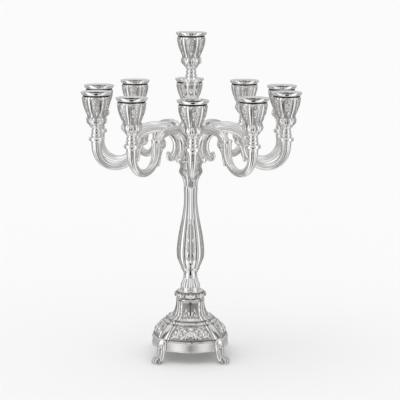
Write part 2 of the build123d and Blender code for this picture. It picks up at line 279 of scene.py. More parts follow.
@dataclass
class Turning:
    """A turned body: a profile of (radius, height) points spun round the upright axis."""

    name: str
    runs: list[list[Point]]
    segments: int = 96
    spacing: float = 1.0
    line: list[Point] = field(init=False)

    def __post_init__(self) -> None:
        """Works out the profile's line."""
        self.line = profile(self.runs, self.spacing)

    def build(self) -> bpy.types.Object:
        """Draws the profile point by point and spins it.

        Returns:
            The turned object, closed and facing outwards.
        """
        start_clean()
        bpy.ops.mesh.primitive_plane_add(size=MM)
        piece = bpy.context.object
        piece.name = piece.data.name = self.name
        edit_all(piece)
        bpy.ops.mesh.merge(type="CENTER")
        first = self.line[0]
        bpy.ops.transform.translate(value=(0, -first[0] * MM, first[1] * MM))
        for start, end in zip(self.line, self.line[1:]):
            step = (0, (start[0] - end[0]) * MM, (end[1] - start[1]) * MM)
            bpy.ops.mesh.extrude_vertices_move(TRANSFORM_OT_translate={"value": step})
        bpy.ops.mesh.select_all(action="SELECT")
        bpy.ops.mesh.spin(
            steps=self.segments, angle=math.tau, center=(0, 0, 0), axis=(0, 0, 1), use_auto_merge=True
        )
        close_shape(piece)
        return piece

    def make(self) -> tuple[bpy.types.Object, Survey]:
        """Builds the body and surveys it."""
        piece = self.build()
        return piece, self.survey(piece)

    def _lengths(self) -> Array:
        """The way along the profile to each of its points."""
        return np.concatenate([[0.0], np.cumsum(np.hypot(*np.diff(np.array(self.line), axis=0).T))])

    def run_at(self, radius: float, height: float) -> float:
        """The way along the profile to the point nearest a place."""
        line = np.array(self.line)
        return float(self._lengths()[np.argmin(np.hypot(line[:, 0] - radius, line[:, 1] - height))])

    def survey(self, piece: bpy.types.Object) -> Survey:
        """Finds each point's angle, radius, height and way along the profile."""
        points = points_of(piece)
        radius = np.hypot(points[:, 0], points[:, 1])
        line, lengths = np.array(self.line), self._lengths()
        nearest = np.empty(len(points), int)
        for start in range(0, len(points), 4096):
            rows = slice(start, start + 4096)
            across = radius[rows, None] - line[None, :, 0]
            up = points[rows, 2, None] - line[None, :, 1]
            nearest[rows] = np.argmin(across**2 + up**2, axis=1)
        angle = np.degrees(np.arctan2(points[:, 0], -points[:, 1]))
        return Survey(angle, radius, points[:, 2], lengths[nearest])


# ------------------------------------------------------------------ swept bars
@dataclass(frozen=True)
class Bend:
    """A stretch of a bar: an arc, or a straight of the given length where the radius is 0.

    Positive degrees bend anticlockwise, seen with outwards to the right and up upwards.
    """

    radius: float
    degrees: float = 0.0
    length: float = 0.0
    swell: float = 1.0


@dataclass
class Bar:
    """A bar of oval section led along arcs in the plane of outwards (x) and up (z)."""

    name: str
    start: Point
    heading: float
    bends: list[Bend]
    width: float
    thickness: float
    segments: int = 32
    step: float = 1.2
    centres: list[Point] = field(default_factory=list)
    headings: list[float] = field(default_factory=list)

    def _advance(self, point: Point, heading: float, bend: Bend, steps: int) -> tuple[Point, float]:
        """Adds one step of a bend to the selected end of the bar and gives the new end."""
        if bend.radius == 0:
            reach = bend.length / steps
            new = (point[0] + reach * math.cos(heading), point[1] + reach * math.sin(heading))
            move = ((new[0] - point[0]) * MM, 0, (new[1] - point[1]) * MM)
            bpy.ops.mesh.extrude_edges_move(TRANSFORM_OT_translate={"value": move})
            new_heading = heading
        else:
            turn = math.radians(bend.degrees) / steps
            side = math.copysign(1.0, turn)
            centre = (
                point[0] - side * bend.radius * math.sin(heading),
                point[1] + side * bend.radius * math.cos(heading),
            )
            pivot = (centre[0] * MM, 0, centre[1] * MM)
            bpy.ops.mesh.spin(steps=1, angle=turn, center=pivot, axis=(0, 1, 0), use_auto_merge=False)
            new_heading = heading + turn
            new = (
                centre[0] + side * bend.radius * math.sin(new_heading),
                centre[1] - side * bend.radius * math.cos(new_heading),
            )
        factor = bend.swell ** (1 / steps)
        if factor != 1.0:
            bpy.ops.transform.resize(value=(factor,) * 3, center_override=(new[0] * MM, 0, new[1] * MM))
        return new, new_heading

    def _round_off(self, point: Point, heading: float, depth: float) -> None:
        """Closes the selected end with a low dome."""
        for share, shrink in ((0.55, 0.82), (0.3, 0.62), (0.15, 0.3)):
            reach = depth * share
            move = (reach * math.cos(heading) * MM, 0, reach * math.sin(heading) * MM)
            bpy.ops.mesh.extrude_edges_move(TRANSFORM_OT_translate={"value": move})
            bpy.ops.transform.resize(value=(shrink,) * 3)
        bpy.ops.mesh.merge(type="CENTER")

    def build(self) -> bpy.types.Object:
        """Makes the bar, closed at both ends.

        Returns:
            The bar's object.
        """
        heading = math.radians(self.heading)
        start_clean()
        bpy.ops.mesh.primitive_circle_add(
            vertices=self.segments,
            radius=MM / 2,
            location=(self.start[0] * MM, 0, self.start[1] * MM),
            rotation=(0, math.pi / 2 - heading, 0),
        )
        piece = bpy.context.object
        piece.name = piece.data.name = self.name
        piece.scale = (self.thickness, self.width, 1)
        settle(piece)
        edit_all(piece)
        point = self.start
        self.centres, self.headings = [point], [heading]
        for bend in self.bends:
            length = bend.length or bend.radius * abs(math.radians(bend.degrees))
            steps = max(2, round(length / self.step))
            for _ in range(steps):
                point, heading = self._advance(point, heading, bend, steps)
                self.centres.append(point)
                self.headings.append(heading)
        end_depth = self.thickness * 0.4
        self._round_off(point, heading, end_depth)
        bpy.ops.mesh.select_all(action="DESELECT")
        bpy.ops.object.mode_set(mode="OBJECT")
        for vertex in piece.data.vertices[: self.segments]:
            vertex.select = True
        bpy.ops.object.mode_set(mode="EDIT")
        self._round_off(self.start, self.headings[0] + math.pi, end_depth)
        close_shape(piece)
        return piece

    def make(self) -> tuple[bpy.types.Object, Survey]:
        """Builds the bar and surveys it."""
        piece = self.build()
        return piece, self.survey(piece)

    def survey(self, piece: bpy.types.Object) -> Survey:
        """Finds where each point lies along and round the bar.

        Returns:
            A survey whose angle is round the bar from its outer side, radius is from its centre line,
            height is the sideways place and run is the way along the centre line.
        """
        points = points_of(piece)
        line = np.array(self.centres)
        headings = np.array(self.headings)
        lengths = np.concatenate([[0.0], np.cumsum(np.hypot(*np.diff(line, axis=0).T))])
        across = points[:, None, 0] - line[None, :, 0]
        up = points[:, None, 2] - line[None, :, 1]
        along = across * np.cos(headings) + up * np.sin(headings)
        apart = np.hypot(across, up)
        near = np.argmin(np.where(apart < 2.5 * self.thickness, np.abs(along), 1e3 + apart), axis=1)
        rows = np.arange(len(points))
        inward = -across[rows, near] * np.sin(headings[near]) + up[rows, near] * np.cos(headings[near])
        angle = np.degrees(np.arctan2(points[:, 1], inward))
        return Survey(angle, np.hypot(points[:, 1], inward), points[:, 1], lengths[near])


# ------------------------------------------------------------------ chased ornament
@dataclass(frozen=True)
class Stroke:
    """One raised line of chased ornament on a flat panel, thick in the middle or at its start."""

    line: tuple[Point, ...]
    width: float
    height: float
    leaf: bool = False

    def raise_at(self, u: Array, v: Array) -> Array:
        """The stroke's height at each place of the panel.

        Args:
            u: The sideways places in millimetres.
            v: The lengthwise places in millimetres.

        Returns:
            The heights in millimetres.
        """
        line = np.array(self.line)
        heights = np.zeros(len(u))
        margin = 2.4 * self.width
        low, high = line.min(axis=0) - margin, line.max(axis=0) + margin
        near = np.flatnonzero((u > low[0]) & (u < high[0]) & (v > low[1]) & (v < high[1]))
        if len(near) == 0:
            return heights
        un, vn = u[near], v[near]
        best = np.zeros(len(near))
        count = len(line) - 1
        for index, (start, end) in enumerate(zip(line, line[1:])):
            span = end - start
            ahead = (un - start[0]) * span[0] + (vn - start[1]) * span[1]
            t = np.clip(ahead / max(span @ span, 1e-9), 0, 1)
            gap = np.hypot(un - start[0] - t * span[0], vn - start[1] - t * span[1])
            share = (index + t) / count
            body = np.sin(np.pi * np.clip(share * 0.86 + 0.1, 0, 1)) if self.leaf else 1 - 0.55 * share
            width = self.width * np.maximum(body, 0.12)
            best = np.maximum(best, np.exp(-((gap / width) ** 2)) * np.maximum(body, 0.2) ** 0.5)
        heights[near] = best * self.height
        return heights


def spiral(centre: Point, radius: float, start: float, turns: float, width: float, height: float) -> Stroke:
    """A scroll that winds in from its start angle; negative turns wind clockwise."""
    count = max(10, int(abs(turns) * 22))
    points = []
    for index in range(count + 1):
        share = index / count
        angle = math.radians(start + 360 * turns * share)
        reach = radius * (1 - 0.82 * share)
        points.append((centre[0] + reach * math.cos(angle), centre[1] + reach * math.sin(angle)))
    return Stroke(tuple(points), width, height)


def leaf(root: Point, tip: Point, width: float, height: float, curl: float = 0.0) -> Stroke:
    """A leaf from root to tip, bowed sideways by the curl."""
    middle = (
        (root[0] + tip[0]) / 2 - curl * (tip[1] - root[1]),
        (root[1] + tip[1]) / 2 + curl * (tip[0] - root[0]),
    )
    return Stroke(tuple(smooth_run([root, middle, tip], math.dist(root, tip) / 6)), width, height, leaf=True)


def rosette(centre: Point, petals: int, radius: float, width: float, height: float) -> list[Stroke]:
    """A flower of petals round a raised eye."""
    flower = []
    for index in range(petals):
        angle = math.tau * (index + 0.5) / petals
        root = (centre[0] + 0.3 * radius * math.cos(angle), centre[1] + 0.3 * radius * math.sin(angle))
        tip = (centre[0] + radius * math.cos(angle), centre[1] + radius * math.sin(angle))
        flower.append(leaf(root, tip, width, height))
    eye = (centre, (centre[0] + 0.05, centre[1]))
    flower.append(Stroke(eye, 0.8 * width, 1.2 * height))
    return flower


def mirrored(strokes: list[Stroke]) -> list[Stroke]:
    """The strokes and their mirror images on the panel's other side."""
    return strokes + [replace(stroke, line=tuple((-u, v) for u, v in stroke.line)) for stroke in strokes]


def ornament(strokes: list[Stroke], u: Array, v: Array) -> Array:
    """The highest of all strokes at each place."""
    heights = np.zeros(len(u))
    for stroke in strokes:
        heights = np.maximum(heights, stroke.raise_at(u, v))
    return heights


# ------------------------------------------------------------------ finishes
def linear(hex_colour: str) -> tuple[float, float, float, float]:
    """Turns an sRGB hex colour into linear red, green, blue and alpha."""
    channels = [int(hex_colour[place : place + 2], 16) / 255 for place in (1, 3, 5)]
    return (*[c / 12.92 if c <= 0.04045 else ((c + 0.055) / 1.055) ** 2.4 for c in channels], 1.0)


def empty_tree(owner: bpy.types.Material | bpy.types.World) -> bpy.types.NodeTree:
    """Gives a material or a world an empty node tree."""
    owner.use_nodes = True
    owner.node_tree.nodes.clear()
    return owner.node_tree


def add_node(
    tree: bpy.types.NodeTree, kind: str, settings: dict | None = None, inputs: dict | None = None
) -> bpy.types.Node:
    """Adds a node with its settings and its inputs.

    Args:
        tree: The node tree.
        kind: The node's type name.
        settings: Attribute names and values.
        inputs: Socket names or numbers, each with a value or an output socket to link.

    Returns:
        The new node.
    """
    node = tree.nodes.new(kind)
    for name, value in (settings or {}).items():
        setattr(node, name, value)
    for name, value in (inputs or {}).items():
        if isinstance(value, bpy.types.NodeSocket):
            tree.links.new(value, node.inputs[name])
        else:
            node.inputs[name].default_value = value
    return node


class Grain(Enum):
    """How a metal surface was worked."""

    MIRROR = "spun and buffed to a mirror"
    CHASED = "chased in relief on a matted ground"
    CAST = "cast, filed and buffed"
    SATIN = "rolled strip with fine lengthwise lines"
    TURNED_STEEL = "plain turned steel"


@dataclass(frozen=True)
class SilverFinish:
    """A metal surface: its colour, how sharp its reflections are and the marks its making left.

    Shade is the colour of the patina in the hollows, and also of the painted shade under the cup lips and
    inside the candle tubes; haze is how much the roughness wanders and bump is in millimetres.
    """

    name: str
    grain: Grain
    colour: str
    shade: str
    roughness: float
    haze: float
    bump: float

    def _roughness(self, tree: bpy.types.NodeTree, place: bpy.types.NodeSocket) -> bpy.types.NodeSocket:
        """Handling haze: soft patches about 12 mm across that reflect a little less sharply."""
        cloud = add_node(
            tree,
            "ShaderNodeTexNoise",
            {},
            {"Vector": place, "Scale": 1 / (12 * MM), "Detail": 3.0, "Roughness": 0.55},
        )
        spread = add_node(
            tree,
            "ShaderNodeMapRange",
            {},
            {
                "Value": cloud.outputs["Fac"],
                "From Min": 0.35,
                "From Max": 0.7,
                "To Min": self.roughness,
                "To Max": self.roughness + self.haze,
            },
        )
        if self.grain is not Grain.CHASED:
            return spread.outputs["Result"]
        # The matting punches leave the ground duller than the buffed ridges
        ground = add_node(tree, "ShaderNodeAttribute", {"attribute_name": "ground"})
        dull = add_node(
            tree,
            "ShaderNodeMath",
            {"operation": "MULTIPLY_ADD"},
            {0: ground.outputs["Fac"], 1: 0.24, 2: spread.outputs["Result"]},
        )
        return dull.outputs[0]

    def _marks(self, tree: bpy.types.NodeTree, place: bpy.types.NodeSocket) -> bpy.types.NodeSocket:
        """The height pattern that the making left, at its real scale."""
        if self.grain is Grain.SATIN:
            # Rolling lines 0.5 mm apart, running level round the band
            drawn_out = (12.0, 12.0, 1 / (0.5 * MM))
            stretched = add_node(tree, "ShaderNodeMapping", {}, {"Vector": place, "Scale": drawn_out})
            lines = {"Vector": stretched.outputs[0], "Scale": 1.0, "Detail": 2.0}
            return add_node(tree, "ShaderNodeTexNoise", {}, lines).outputs["Fac"]
        if self.grain is Grain.CHASED:
            # Matting punch dots 0.7 mm apart
            dots = add_node(tree, "ShaderNodeTexVoronoi", {}, {"Vector": place, "Scale": 1 / (0.7 * MM)})
            return dots.outputs["Distance"]
        # A very low buffing ripple on the mirror, file marks on the castings, lathe marks on the steel
        size = {Grain.MIRROR: 6.0, Grain.CAST: 3.5, Grain.TURNED_STEEL: 0.8}[self.grain]
        wave = {"Vector": place, "Scale": 1 / (size * MM), "Detail": 2.0}
        return add_node(tree, "ShaderNodeTexNoise", {}, wave).outputs["Fac"]

    def _tone(self, tree: bpy.types.NodeTree) -> bpy.types.NodeSocket:
        """Silver that darkens with sulphide in the hollows that a cloth can't reach, with painted shade under
        the cup lips and inside the candle tubes.
        """
        patina_and_shade = add_node(tree, "ShaderNodeAttribute", {"attribute_name": "patina_and_shade"})
        mixed = add_node(
            tree,
            "ShaderNodeMix",
            {"data_type": "RGBA"},
            {0: patina_and_shade.outputs["Fac"], 6: linear(self.colour), 7: linear(self.shade)},
        )
        return mixed.outputs[2]

    def build(self) -> bpy.types.Material:
        """Makes the material.

        Returns:
            The material, metallic all over.
        """
        material = bpy.data.materials.new(self.name)
        tree = empty_tree(material)
        place = add_node(tree, "ShaderNodeTexCoord").outputs["Object"]
        strength: float | bpy.types.NodeSocket = 1.0
        if self.grain is Grain.CHASED:
            ground = add_node(tree, "ShaderNodeAttribute", {"attribute_name": "ground"})
            strength = ground.outputs["Fac"]
        bump = add_node(
            tree,
            "ShaderNodeBump",
            {},
            {"Strength": strength, "Distance": self.bump * MM, "Height": self._marks(tree, place)},
        )
        shader = add_node(
            tree,
            "ShaderNodeBsdfPrincipled",
            {},
            {
                "Base Color": self._tone(tree),
                "Metallic": 1.0,
                "Roughness": self._roughness(tree, place),
                "Normal": bump.outputs["Normal"],
            },
        )
        add_node(tree, "ShaderNodeOutputMaterial", {}, {"Surface": shader.outputs[0]})
        return material


@dataclass
class Workshop:
    """The finishes that the pieces take, each made once."""

    mirror: bpy.types.Material = field(init=False)
    chased: bpy.types.Material = field(init=False)
    cast: bpy.types.Material = field(init=False)
    satin: bpy.types.Material = field(init=False)
    steel: bpy.types.Material = field(init=False)

    def __post_init__(self) -> None:
        """Builds every finish."""
        # Fine silver plate, spun and buffed: nearly colourless, a little warm, sharp reflections; its shade
        # colour is painted inside the candle tubes as shade
        self.mirror = SilverFinish(
            "silver_spun_mirror", Grain.MIRROR, "#F8F7F6", "#77736C", roughness=0.05, haze=0.05, bump=0.010
        ).build()
        # Raised and chased silver: bright ridges, matted ground, grey sulphide left in the hollows and a
        # painted shadow under each cup's lip
        self.chased = SilverFinish(
            "silver_chased", Grain.CHASED, "#EFEEEC", "#4E4A44", roughness=0.05, haze=0.05, bump=0.16
        ).build()
        # Cast silver, buffed: softer reflections than the spun parts
        self.cast = SilverFinish(
            "silver_cast_buffed", Grain.CAST, "#F5F4F2", "#6B675F", roughness=0.20, haze=0.10, bump=0.030
        ).build()
        # Rolled strip with a satin face: reflections smear upwards over the fine level lines
        self.satin = SilverFinish(
            "silver_satin_strip", Grain.SATIN, "#F2F1EE", "#8C8880", roughness=0.34, haze=0.06, bump=0.030
        ).build()
        # Plain steel of the tie rod and nuts: greyer and duller than the silver
        self.steel = SilverFinish(
            "steel_plain", Grain.TURNED_STEEL, "#B4B2AE", "#7A7874", roughness=0.32, haze=0.10, bump=0.012
        ).build()


def dress(piece: bpy.types.Object, material: bpy.types.Material) -> None:
    """Gives a piece one finish all over."""
    piece.data.materials.clear()
    piece.data.materials.append(material)


def put_up(
    piece: bpy.types.Object, material: bpy.types.Material, body: str, nodes: tuple[str, ...]
) -> None:
    """Dresses a finished piece and ties it to the frame.

    Args:
        piece: The finished piece.
        material: Its finish.
        body: The body it rides on.
        nodes: The CAD nodes it stands for.
    """
    smooth_shading(piece)
    dress(piece, material)
    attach(piece, body)
    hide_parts(*nodes)
    log.info("%s: %d faces, stands for %s", piece.name, len(piece.data.polygons), ", ".join(nodes))


# ------------------------------------------------------------------ base
@dataclass(frozen=True)
class SquarePlan:
    """A square plan with bowed sides and cut corners, given as shares of the reach at a side's middle."""

    shoulder: float
    half_side: float
    serpentine: float = 0.0
    FACE_DEGREES = 36.0

    def lay(self, angle: Array, reach: Array) -> tuple[Array, Array]:
        """Moves the points of a circle to the square plan.

        Args:
            angle: The points' angles in degrees from the front.
            reach: Their radii, which become the reach of the square.

        Returns:
            The new x and y.
        """
        quarter = np.round(angle / 90)
        local = angle - quarter * 90
        side = np.clip(local / self.FACE_DEGREES, -1, 1)
        corner = np.clip((np.abs(local) - self.FACE_DEGREES) / (45 - self.FACE_DEGREES), 0, 1) / 2
        arc_bow = 1 - side**2
        wave_bow = 0.5 * (1 + np.cos(np.pi * side))
        bow = (1 - self.serpentine) * arc_bow + self.serpentine * wave_bow
        shoulder, half = self.shoulder * reach, self.half_side * reach
        across = half * side
        out = shoulder + (reach - shoulder) * bow
        gap = (shoulder - half) * corner
        across = across + np.sign(local) * gap
        out = out - gap
        turn = np.radians(quarter * 90)
        x = across * np.cos(turn) + out * np.sin(turn)
        y = across * np.sin(turn) - out * np.cos(turn)
        return x, y


@dataclass
class Base:
    """The footed square base: plinth band, chased dome, flange and four scroll feet."""

    shop: Workshop
    foot_top: float = 18.0
    plinth_top: float = 32.6
    dome_top: float = 89.4
    collar_top: float = 105.0
    corner_reach: float = 61.5
    rod_bore: float = 4.6

    def plinth(self) -> None:
        """The satin band with a bead along its lower and upper edge."""
        low, top = self.foot_top, self.plinth_top
        turning = Turning(
            "silver_plinth",
            [
                [(55.4, low), (57.6, low)],
                [(57.6, low), (58.9, low + 0.7), (58.8, low + 1.9), (57.9, low + 2.4)],
                [(57.9, low + 2.4), (57.8, top - 3.4)],
                [(57.8, top - 3.4), (58.5, top - 2.8), (58.6, top - 1.2), (57.4, top - 0.1)],
                [(57.4, top - 0.1), (50.5, top)],
                [(50.5, top), (50.5, top - 2.0)],
                [(50.5, top - 2.0), (55.4, top - 2.0)],
                [(55.4, top - 2.0), (55.4, low)],
            ],
            segments=240,
            spacing=0.7,
        )
        piece, where = turning.make()
        plan = SquarePlan(shoulder=0.825, half_side=0.628, serpentine=0.75)
        x, y = plan.lay(where.angle, where.radius)
        move_points(piece, np.column_stack([x, y, where.height]))
        put_up(piece, self.shop.satin, STAND, ("base_plinth",))

    def _side_ornament(self) -> list[Stroke]:
        """Scrolls and leaves round a flower, for one side of the dome: across and up from its lower edge."""
        half = [
            spiral((12.0, 11.5), 6.2, 200, -1.7, 1.15, 0.75),
            spiral((24.0, 8.8), 5.0, 100, 1.6, 1.05, 0.7),
            spiral((9.0, 23.2), 3.6, 250, 1.5, 0.9, 0.6),
            spiral((19.0, 21.5), 3.4, 150, -1.5, 0.9, 0.6),
            leaf((6.0, 9.0), (16.0, 3.2), 1.8, 0.8, -0.15),
            leaf((17.0, 4.0), (29.5, 3.0), 1.6, 0.75, 0.15),
            leaf((18.0, 12.0), (21.0, 18.5), 1.5, 0.7, 0.2),
            leaf((15.5, 17.5), (11.0, 20.5), 1.4, 0.7, 0.2),
            leaf((27.5, 12.5), (26.0, 20.0), 1.4, 0.7, -0.2),
            leaf((3.0, 17.0), (5.2, 24.5), 1.4, 0.7, 0.2),
            leaf((2.6, 5.0), (8.0, 2.4), 1.3, 0.7, 0.1),
            leaf((30.0, 7.0), (33.0, 3.2), 1.2, 0.6, 0.1),
        ]
        flower = rosette((0.0, 11.0), 8, 5.0, 1.5, 0.85)
        return mirrored(half) + flower + [leaf((0.0, 17.0), (0.0, 27.0), 1.7, 0.8)]

    def _neck_ornament(self) -> list[Stroke]:
        """A rising palmette for one side of the dome's neck: across and up from the step."""
        fan = [
            leaf((0.8, 2.0), (4.2, 9.0), 1.2, 0.5, -0.15),
            leaf((1.6, 1.5), (8.0, 6.0), 1.2, 0.5, -0.2),
            spiral((7.2, 11.5), 2.6, 240, 1.4, 0.75, 0.45),
            leaf((2.0, 10.0), (4.5, 17.0), 1.1, 0.45, 0.2),
            leaf((8.0, 15.0), (6.0, 21.5), 1.0, 0.4, 0.15),
        ]
        return mirrored(fan) + [leaf((0.0, 2.0), (0.0, 11.0), 1.3, 0.55)]

    def dome(self) -> None:
        """The raised body: bowed chased sides between corner ridges, a stepped moulding and a neck."""
        low, top, bore = self.plinth_top, self.dome_top, self.rod_bore
        outside = [
            [(57.0, low), (57.6, low + 0.6), (57.4, low + 1.8), (56.2, low + 2.4)],
            [(56.2, low + 2.4), (56.0, low + 4.0), (53.9, 41.0), (51.2, 45.0), (48.0, 48.6), (43.8, 52.8),
             (41.8, 54.2)],
            [(41.8, 54.2), (41.9, 55.0), (41.0, 55.7)],
            [(41.0, 55.7), (38.6, 56.4), (37.2, 57.6), (36.8, 58.8)],
            [(36.8, 58.8), (36.2, 59.8), (35.0, 60.2)],
            [(35.0, 60.2), (33.0, 60.6), (30.4, 62.3), (27.3, 65.0), (24.9, 68.4), (23.2, 72.6), (22.2, 77.6),
             (21.6, 83.0), (21.5, top - 1.2)],
            [(21.5, top - 1.2), (22.0, top - 0.7), (21.7, top)],
        ]
        inside = [
            [(21.7, top), (bore, top)],
            [(bore, top), (bore, top - 2.0)],
            [(bore, top - 2.0), (19.2, top - 2.0)],
            [(19.2, top - 2.0), (19.6, 77.0), (22.4, 67.0), (31.0, 58.0), (42.0, 49.6), (50.0, 41.5),
             (53.8, low)],
            [(53.8, low), (57.0, low)],
        ]
        turning = Turning("silver_dome", outside + inside, segments=440, spacing=0.85)
        piece, where = turning.make()
        level = np.clip((where.height - low) / (top - low), 0, 1)
        waist = np.sin(np.pi * np.clip(level * 1.15, 0, 1))
        shoulder, half_side = 0.845 + 0.065 * level, 0.628 - 0.10 * waist * 0.6
        plan = SquarePlan(shoulder, half_side, serpentine=0.35)
        x, y = plan.lay(where.angle, where.radius)
        move_points(piece, np.column_stack([x, y, where.height]))
        local = folded(where.angle, 90)
        side_mm = local / SquarePlan.FACE_DEGREES * plan.half_side * where.radius
        edge = arc(np.abs(local) - SquarePlan.FACE_DEGREES, where.radius)
        outer = self._outside(where, turning)
        bead = 0.95 * ridge(edge, 0.9) - 0.35 * ridge(edge - 2.2, 0.9) - 0.35 * ridge(edge + 2.2, 0.9)
        on_side = edge < -2.6
        run_low = turning.run_at(56.0, low + 4.0)
        lower = between(where.height, low + 3.6, 52.6, 1.5)
        upper = between(where.height, 63.0, top - 3.5, 1.5)
        chased = ornament(self._side_ornament(), side_mm, where.run - run_low)
        run_neck = turning.run_at(33.0, 60.6)
        palmette = ornament(self._neck_ornament(), side_mm, where.run - run_neck)
        gadroons = np.abs(np.cos(np.pi * side_mm / 4.6)) * between(where.run - run_neck, 1.0, 5.5, 1.5)
        relief = np.where(on_side, 2.2 * chased * lower + 1.9 * palmette * upper + 1.0 * gadroons, 0.0)
        groove = -0.9 * ridge(side_mm, 0.9) * between(where.height, 69.0, 81.0, 2.5)
        across_corner = np.clip((45 - np.abs(local)) / (45 - SquarePlan.FACE_DEGREES), 0, 1)
        bulge = 1.9 * round_top(across_corner) - 0.7
        corner = bulge * (edge > 0) * between(where.height, low + 3, top - 3, 3)
        bead *= between(where.height, low + 2.5, top - 1.5, 1.5)
        chase(piece, (bead + relief + groove + corner) * outer)
        matted = bare(relief, 0.55) * outer * (lower + upper) * on_side
        near_ridge = ridge(np.abs(edge) - 2.0, 0.9) * outer
        near_stroke = np.clip(relief / 0.55, 0, 1) * np.clip(1.4 - relief / 0.35, 0, 1)
        steps = ridge(where.height - (low + 3.0), 0.7)
        steps = steps + ridge(where.height - 55.4, 0.6) + ridge(where.height - 59.9, 0.6)
        paint(piece, "ground", 0.45 * matted)
        worn = 0.55 * matted + 0.7 * near_ridge + 0.6 * near_stroke - 0.8 * groove
        paint(piece, "patina_and_shade", (worn + 0.7 * steps * (np.abs(local) < 44)) * outer)
        put_up(piece, self.shop.chased, STAND, ("base_dome",))

    def _outside(self, where: Survey, turning: Turning) -> Array:
        """1 on the outside of the shell and 0 on its inside."""
        return (where.run <= turning.run_at(21.7, self.dome_top) + 0.1).astype(float)

    def collar(self) -> None:
        """The flange on the dome, chased with a small flower on each side and corner."""
        low, top, bore = self.dome_top, self.collar_top, self.rod_bore
        turning = Turning(
            "silver_flange",
            [
                [(bore, low), (21.0, low)],
                [(21.0, low), (20.4, low + 1.0), (21.2, low + 2.8), (22.2, low + 4.6)],
                [(22.2, low + 4.6), (23.0, low + 5.6), (23.3, low + 7.2), (22.9, low + 8.6)],
                [(22.9, low + 8.6), (21.8, low + 10.2), (20.8, low + 12.2)],
                [(20.8, low + 12.2), (19.6, low + 13.0), (17.2, low + 13.6)],
                [(17.2, low + 13.6), (15.4, low + 14.4), (14.9, top)],
                [(14.9, top), (bore, top)],
                [(bore, top), (bore, low)],
            ],
            segments=240,
            spacing=0.6,
        )
        piece, where = turning.make()
        x, y = SquarePlan(shoulder=0.87, half_side=0.585, serpentine=0.2).lay(where.angle, where.radius)
        # The top and the bore stay round
        blend = np.clip(between(where.height, low + 14.2, top + 5, 1.2) + (where.radius < 6), 0, 1)
        x = x * (1 - blend) + where.radius * np.sin(np.radians(where.angle)) * blend
        y = y * (1 - blend) + -where.radius * np.cos(np.radians(where.angle)) * blend
        move_points(piece, np.column_stack([x, y, where.height]))
        across = arc(folded(where.angle, 45), where.radius)
        flowers = rosette((0.0, 96.6), 6, 3.8, 1.1, 1.6)
        sprays = [leaf((5.0, 93.4), (7.8, 99.6), 1.1, 1.2, 0.2), leaf((8.2, 93.0), (5.4, 100.4), 0.9, 0.9)]
        flowers += mirrored(sprays)
        raised = ornament(flowers, across, where.height)
        band = between(where.height, low + 2.4, low + 12.4, 0.8) * (where.radius > 18)
        chase(piece, raised * band)
        paint(piece, "ground", bare(raised, 0.5) * band * 0.4)
        paint(piece, "patina_and_shade", 0.8 * band * bare(raised, 0.6))
        put_up(piece, self.shop.chased, STAND, ("base_collar",))

    def _foot(self) -> bpy.types.Object:
        """One scroll foot on the +X side: leafed knee, slim ankle and rolled toes."""
        leg = Bar(
            "foot_pattern",
            (self.corner_reach + 0.3, self.plinth_top + 1.0),
            -90,
            [
                Bend(0, length=9.2, swell=0.95),
                Bend(45, 14, swell=0.84),
                Bend(0, length=4.0, swell=0.94),
                Bend(9, 60, swell=1.0),
                Bend(7, 30, swell=1.12),
                Bend(2.4, 195, swell=0.78),
            ],
            width=17.6,
            thickness=9.6,
            segments=56,
            step=0.7,
        )
        piece, where = leg.make()
        reeds = np.abs(np.cos(3 * np.pi * where.height / 12.5))
        toes = between(where.run, 33, 60, 5)
        outer_face = np.abs(where.angle) > 100
        shell = ornament(
            mirrored([leaf((0.8, 2.0), (5.0, 7.0), 1.2, 0.8), leaf((0.8, 7.5), (4.4, 12.5), 1.1, 0.7)])
            + [leaf((0.0, 1.0), (0.0, 24.0), 1.3, 0.9)],
            where.height,
            where.run,
        )
        chase(piece, 0.9 * (reeds**0.8 - 0.4) * toes + shell * (np.abs(where.angle) < 80))
        flutes = np.abs(np.cos(2.5 * np.pi * where.height / where.height.max()))
        shin = between(where.run, 8, 30, 4) * (np.abs(where.angle) < 80)
        chase(piece, 0.7 * (flutes - 0.5) * shin)
        worn = 0.6 * (1 - reeds) ** 2 * toes + 0.7 * (1 - flutes) ** 2 * shin
        paint(piece, "patina_and_shade", worn + 0.5 * ridge(np.abs(where.angle) - 96, 9) + 0.25 * outer_face)
        return piece

    def feet(self) -> None:
        """The four feet, one under each cut corner."""
        pattern = self._foot()
        points = points_of(pattern)
        log.info("foot pattern stands %.2f mm off the ground", points[:, 2].min())
        points[:, 2] = np.maximum(points[:, 2], 0.0)
        move_points(pattern, points)
        for name, turn in (("front_left", 225), ("front_right", 315), ("back_right", 45), ("back_left", 135)):
            foot = placed_copy(pattern, f"silver_foot_{name}", turn, Vector((0, 0, 0)))
            put_up(foot, self.shop.cast, STAND, (f"foot_{name}",))
        discard(pattern)

    def build(self) -> None:
        """Makes the whole base."""
        self.plinth()
        self.dome()
        self.collar()
        self.feet()


